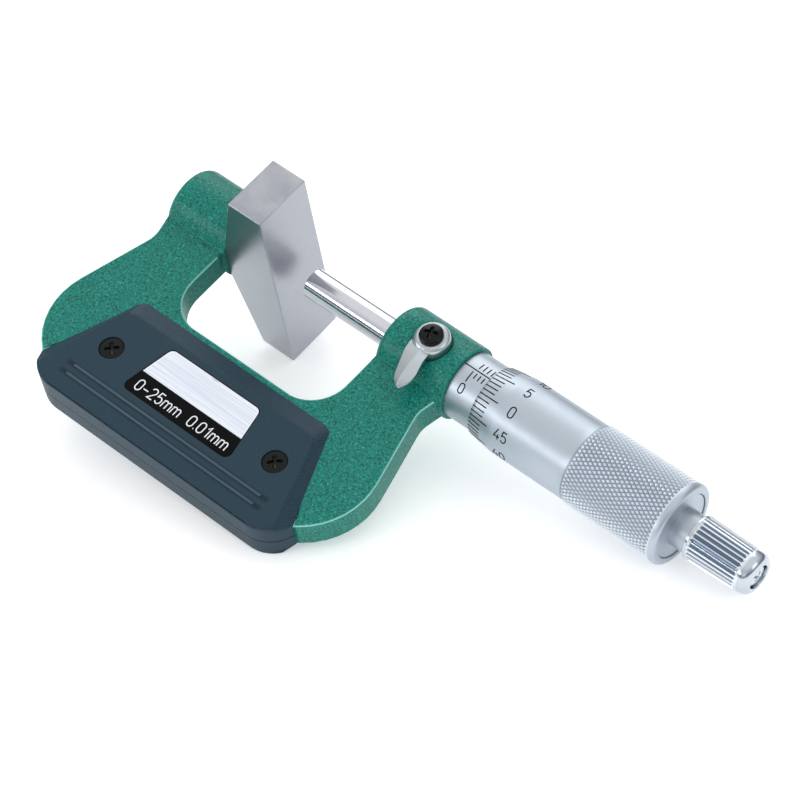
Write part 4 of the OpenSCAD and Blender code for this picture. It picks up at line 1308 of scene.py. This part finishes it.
@dataclass
class Plates:
    """The two insulating plates, their screws and the label.

    Attributes:
        face_z: height of a plate's face over the middle of the frame.
        round_w: width of the rounds along the plates' facets.
        screws: places of the screws.
        head: the shape of their heads.
        head_top: height of a head's middle; head_foot is that of its underside.
        shank_foot: height of the shanks' ends.
        label_top: y of the label's upper edge; label_split and label_low follow below it.
        top_w: width of its upper edge; low_w is that of its lower one.
        words: texts of the measure and the places of their middles, at words_y.
        stroke: width of the label's printed lines.
    """

    face_z: float = 4.8
    round_w: float = 0.35
    screws: tuple[tuple[float, float], ...] = ((-15.8, -38.8), (29.2, -38.8))
    head: CrossHead = field(default_factory=lambda: CrossHead(2.6, 0.12, edge=0.12, arm=1.45, slot=0.36, depth=0.8))
    head_top: float = 4.68
    head_foot: float = 3.75
    shank_r: float = 1.25
    shank_foot: float = 0.9
    label_z: float = 4.7
    label_x: float = 6.7
    label_top: float = -31.3
    label_split: float = -38.8
    label_low: float = -44.3
    top_w: float = 24.6
    low_w: float = 29.6
    corner_r: float = 1.5
    words: tuple[tuple[str, float], ...] = (("0-25mm", 0.35), ("0.01mm", 14.0))
    words_y: float = -41.8
    figures: float = 2.55
    stroke: float = 0.25

    def build(self, shop: Shop) -> None:
        """Makes both plates, the four screws and the label's print."""
        for side, name in ((1, "front_plate"), (-1, "rear_plate")):
            self.plate(shop, name, side)
            self.fasteners(shop, name + "_screws", side)
        self.label(shop)

    def plate(self, shop: Shop, name: str, side: int) -> None:
        """Copies a plate and rounds the edges on its outer face."""
        def on_face(spots: Array) -> Array:
            """Middles on the plate's outer face."""
            return side * spots[:, 2] > self.face_z - 0.02

        shop.copy_of(name + "_moulding", PLATE_NYLON, Seat("frame", "moulded_plate", (name,)), self.round_w,
                     (Break(1.0, 12, 60, on_face), Break(0.25, 60, 130, on_face)), 30)

    def fasteners(self, shop: Shop, name: str, side: int) -> None:
        """Makes a plate's two screws as one piece."""
        rows = self.head.rows(self.head_top, self.head_foot, self.shank_r, self.shank_foot)
        faces = Shop.quads(*rows.shape[:2], ring=True, loop=False)
        spots = [rows.reshape(-1, 3) + [x, y, 0] for x, y in self.screws]
        count = len(spots[0])
        points = np.concatenate(spots) * [1, 1, side]
        shop.mesh(name + "_bodies", points, np.concatenate([faces, faces + count]), BLACK_STEEL,
                  Seat("frame", "black_screws", (name,)), 50)

    def edge(self, y: float) -> float:
        """Half the label's width at a height: it widens evenly towards its lower edge."""
        share = (self.label_top - y) / (self.label_top - self.label_low)
        return (self.top_w + (self.low_w - self.top_w) * share) / 2

    def outline(self, top: float, low: float, inset: float, radii: tuple[float, float]) -> Array:
        """A band of the label as a closed outline with rounded corners.

        Args:
            top: its upper edge.
            low: its lower edge.
            inset: how far it stays inside the label.
            radii: radius of the upper and the lower corners.

        Returns:
            Rows of x and y, round the band.
        """
        a, b = self.edge(top) - inset, self.edge(low) - inset
        corners = [(-a, top - inset, radii[0]), (a, top - inset, radii[0]), (b, low + inset, radii[1]),
                   (-b, low + inset, radii[1])]
        start = (0.0, top - inset, 0.0)
        made = eased([start, *corners[1:], corners[0], start], 6)
        return made[:-1] + [self.label_x, 0]

    def label(self, shop: Shop) -> None:
        """Prints the label: a black lower half with its measure in white, a white line painted as the highlight on
        the upper half's bevelled edge, and a black border.
        """
        seat = Seat("frame", "label_foil")
        field_rim = self.outline(self.label_split, self.label_low, 0.12, (0.01, self.corner_r - 0.1))
        heights = np.array([self.label_z - 0.05, self.label_z + 0.015])
        rim = np.stack([np.column_stack([field_rim, np.full(len(field_rim), z)]) for z in heights])
        count = len(field_rim)
        faces = Shop.quads(2, count, ring=True, loop=False).tolist()
        faces += [list(range(count)), list(range(count, 2 * count))]
        mesh = bpy.data.meshes.new("label_black_field")
        mesh.from_pydata(shop.bench.place(rim.reshape(-1, 3)), [], faces)
        shop.clean(mesh)
        shop.settle("label_black_field", mesh, LABEL_BLACK, seat, 30)
        text = [line + [x, self.words_y] for words, x in self.words for line in Strokes.line(words, self.figures)]
        # A white line in print ink stands for the highlight on the bevelled edge of the label's upper half.
        border = self.outline(self.label_top, self.label_split, 0.45, (self.corner_r - 0.4, 0.1))
        edge = self.outline(self.label_top, self.label_low, 0.1, (self.corner_r, self.corner_r))
        for name, finish, width, level, paths in (
                ("label_measure", LABEL_WHITE, self.stroke, 0.03, text),
                ("label_bevel_highlight", LABEL_WHITE, 0.22, 0.01, [np.vstack([border, border[:1]])]),
                ("label_black_edge", LABEL_BLACK, 0.2, 0.012, [np.vstack([edge, edge[:1]])])):
            points, quads = Inlay(width, level, 0.05, 2.0).join(paths)
            shop.mesh(name, points + [0, 0, self.label_z], quads, finish, seat, 20)


@dataclass
class Studio:
    """A pale floor, soft light and the photograph's camera.

    Attributes:
        eye: the camera's place in instrument millimetres.
        ahead: the way that it looks.
        overhead: the way that is up in its picture.
        lens: focal length for a sensor 36 mm wide.
        floor_size: side of the floor in metres.
        glow: strength of the light that the floor gives itself.
        boxes: name, place about the object's middle, size, power and tone of each light.
        sky: colours of the room by height.
    """

    eye: tuple[float, float, float] = (332.157, -251.050, 570.696)
    ahead: tuple[float, float, float] = (-0.43012088, 0.35007729, -0.83213095)
    overhead: tuple[float, float, float] = (-0.50357988, 0.67198206, 0.54299853)
    lens: float = 154.5
    floor_size: float = 6.0
    glow: float = 0.4
    boxes: tuple[tuple, ...] = (
        ("key_box", (-0.50, 0.62, 0.58), (0.80, 0.80), 2.6, "#FFFFFF"),
        ("front_strip", (-0.48, -0.76, 0.30), (0.70, 0.16), 2.0, "#FFFFFF"),
        ("side_box", (0.85, 0.10, 0.45), (0.50, 0.50), 0.9, "#F4FAFF"),
        ("low_box", (0.30, -0.90, 0.25), (0.60, 0.30), 0.35, "#FFFFFF"))
    sky: tuple[tuple[float, str], ...] = ((0.0, "#33383E"), (0.14, "#6E747B"), (0.42, "#C2C7CD"), (0.85, "#FFFFFF"))

    def build(self, bench: Bench, low: Vector, high: Vector) -> None:
        """Sets the floor, the lights, the world and the camera.

        Args:
            bench: how the instrument lies.
            low: lowest corner of the object.
            high: its highest corner.
        """
        bpy.context.scene.view_settings.view_transform = "Standard"
        self.floor(low.z)
        self.lights((low + high) / 2)
        self.room()
        self.camera(bench)

    def floor(self, height: float) -> None:
        """A plain matt floor, lit a little from below as on a light table, and greyer far away."""
        half = self.floor_size / 2
        mesh = bpy.data.meshes.new("floor")
        corners = [(-half, -half, height), (half, -half, height), (half, half, height), (-half, half, height)]
        mesh.from_pydata(corners, [], [(0, 1, 2, 3)])
        floor = bpy.data.objects.new("floor", mesh)
        bpy.context.scene.collection.objects.link(floor)
        paper = bpy.data.materials.new("white_paper")
        paper.use_nodes = True
        tree = paper.node_tree
        shader = tree.nodes["Principled BSDF"]
        shader.inputs["Roughness"].default_value = 0.9
        shader.inputs["Specular IOR Level"].default_value = 0.1
        place = add(tree, "TexCoord")
        far = add(tree, "VectorMath", {0: place.outputs["Object"]}, operation="LENGTH")
        pale = ramp(tree, far.outputs["Value"], [(0.21, "#FBFBFB"), (0.60, "#C2C6CA")])
        tree.links.new(pale, shader.inputs["Base Color"])
        tree.links.new(pale, shader.inputs["Emission Color"])
        shader.inputs["Emission Strength"].default_value = self.glow
        mesh.materials.append(paper)
        floor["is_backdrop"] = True

    def lights(self, middle: Vector) -> None:
        """A soft box behind, a long strip low in front, and two weaker boxes at the side and in front."""
        for name, place, size, power, tone in self.boxes:
            lamp = bpy.data.lights.new(name, "AREA")
            lamp.shape = "RECTANGLE"
            lamp.size, lamp.size_y = size
            lamp.energy = power
            lamp.color = rgba(tone)[:3]
            box = bpy.data.objects.new(name, lamp)
            box.location = middle + Vector(place)
            box.rotation_euler = (middle - box.location).to_track_quat("-Z", "Y").to_euler()
            bpy.context.scene.collection.objects.link(box)

    def room(self) -> None:
        """A room that is bright above and dark towards the horizon, for the metals to mirror."""
        world = bpy.data.worlds.new("room")
        bpy.context.scene.world = world
        world.use_nodes = True
        tree = world.node_tree
        where = add(tree, "TexCoord")
        split = add(tree, "SeparateXYZ", {"Vector": where.outputs["Generated"]})
        tree.links.new(ramp(tree, split.outputs["Z"], self.sky), tree.nodes["Background"].inputs["Color"])
        tree.nodes["Background"].inputs["Strength"].default_value = 1.0

    def camera(self, bench: Bench) -> None:
        """The camera at the photograph's place."""
        lens = bpy.data.cameras.new("camera")
        lens.lens = self.lens
        lens.sensor_width = 36.0
        lens.clip_start, lens.clip_end = 0.01, 20.0
        view = bpy.data.objects.new("camera", lens)
        bpy.context.scene.collection.objects.link(view)
        back = -bench.turn @ np.array(self.ahead)
        up = bench.turn @ np.array(self.overhead)
        pose = np.eye(4)
        pose[:3, 0], pose[:3, 1], pose[:3, 2] = np.cross(up, back), up, back
        pose[:3, 3] = bench.place(np.array(self.eye))
        view.matrix_world = Matrix(pose.tolist())
        bpy.context.scene.camera = view


@dataclass
class Dressing:
    """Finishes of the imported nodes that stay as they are, by node name."""

    finishes: dict[str, Finish] = field(default_factory=lambda: {
        "lock_pad": PLUG_BRONZE, "inner_sleeve": TURNED_STEEL, "adjusting_nut": TURNED_STEEL,
        "spindle": LAPPED_STEEL, "ratchet_base": SATIN_CHROME, "ratchet_pawl": TURNED_STEEL,
        "ratchet_spring": SPRING_STEEL, "ratchet_washer": TURNED_STEEL, "lock_shaft": TURNED_STEEL,
        "range_label": LABEL_FOIL})

    def dress(self, bench: Bench, nodes: dict[str, Thing]) -> None:
        """Puts each finish in its node's material slots."""
        for name, finish in self.finishes.items():
            mesh = nodes[name].data
            made = finish.material(bench)
            if not mesh.materials:
                mesh.materials.append(made)
            for slot in range(len(mesh.materials)):
                mesh.materials[slot] = made


def main() -> None:
    """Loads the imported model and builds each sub-assembly over it."""
    logging.basicConfig(level=logging.INFO, format="%(message)s")
    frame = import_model()
    packed_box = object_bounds()
    bench = Bench.from_model(frame["joints"], frame["nodes"]["range_label"].data)
    shop = Shop(bench, frame["nodes"])
    Dressing().dress(bench, frame["nodes"])
    Studio().build(bench, *packed_box)
    for part in (Casting(), Barrel(), Grip(), RatchetStop(), Lock(), Plates()):
        part.build(shop)
        LOG.info("%s built", type(part).__name__)


if __name__ == "__main__":
    main()
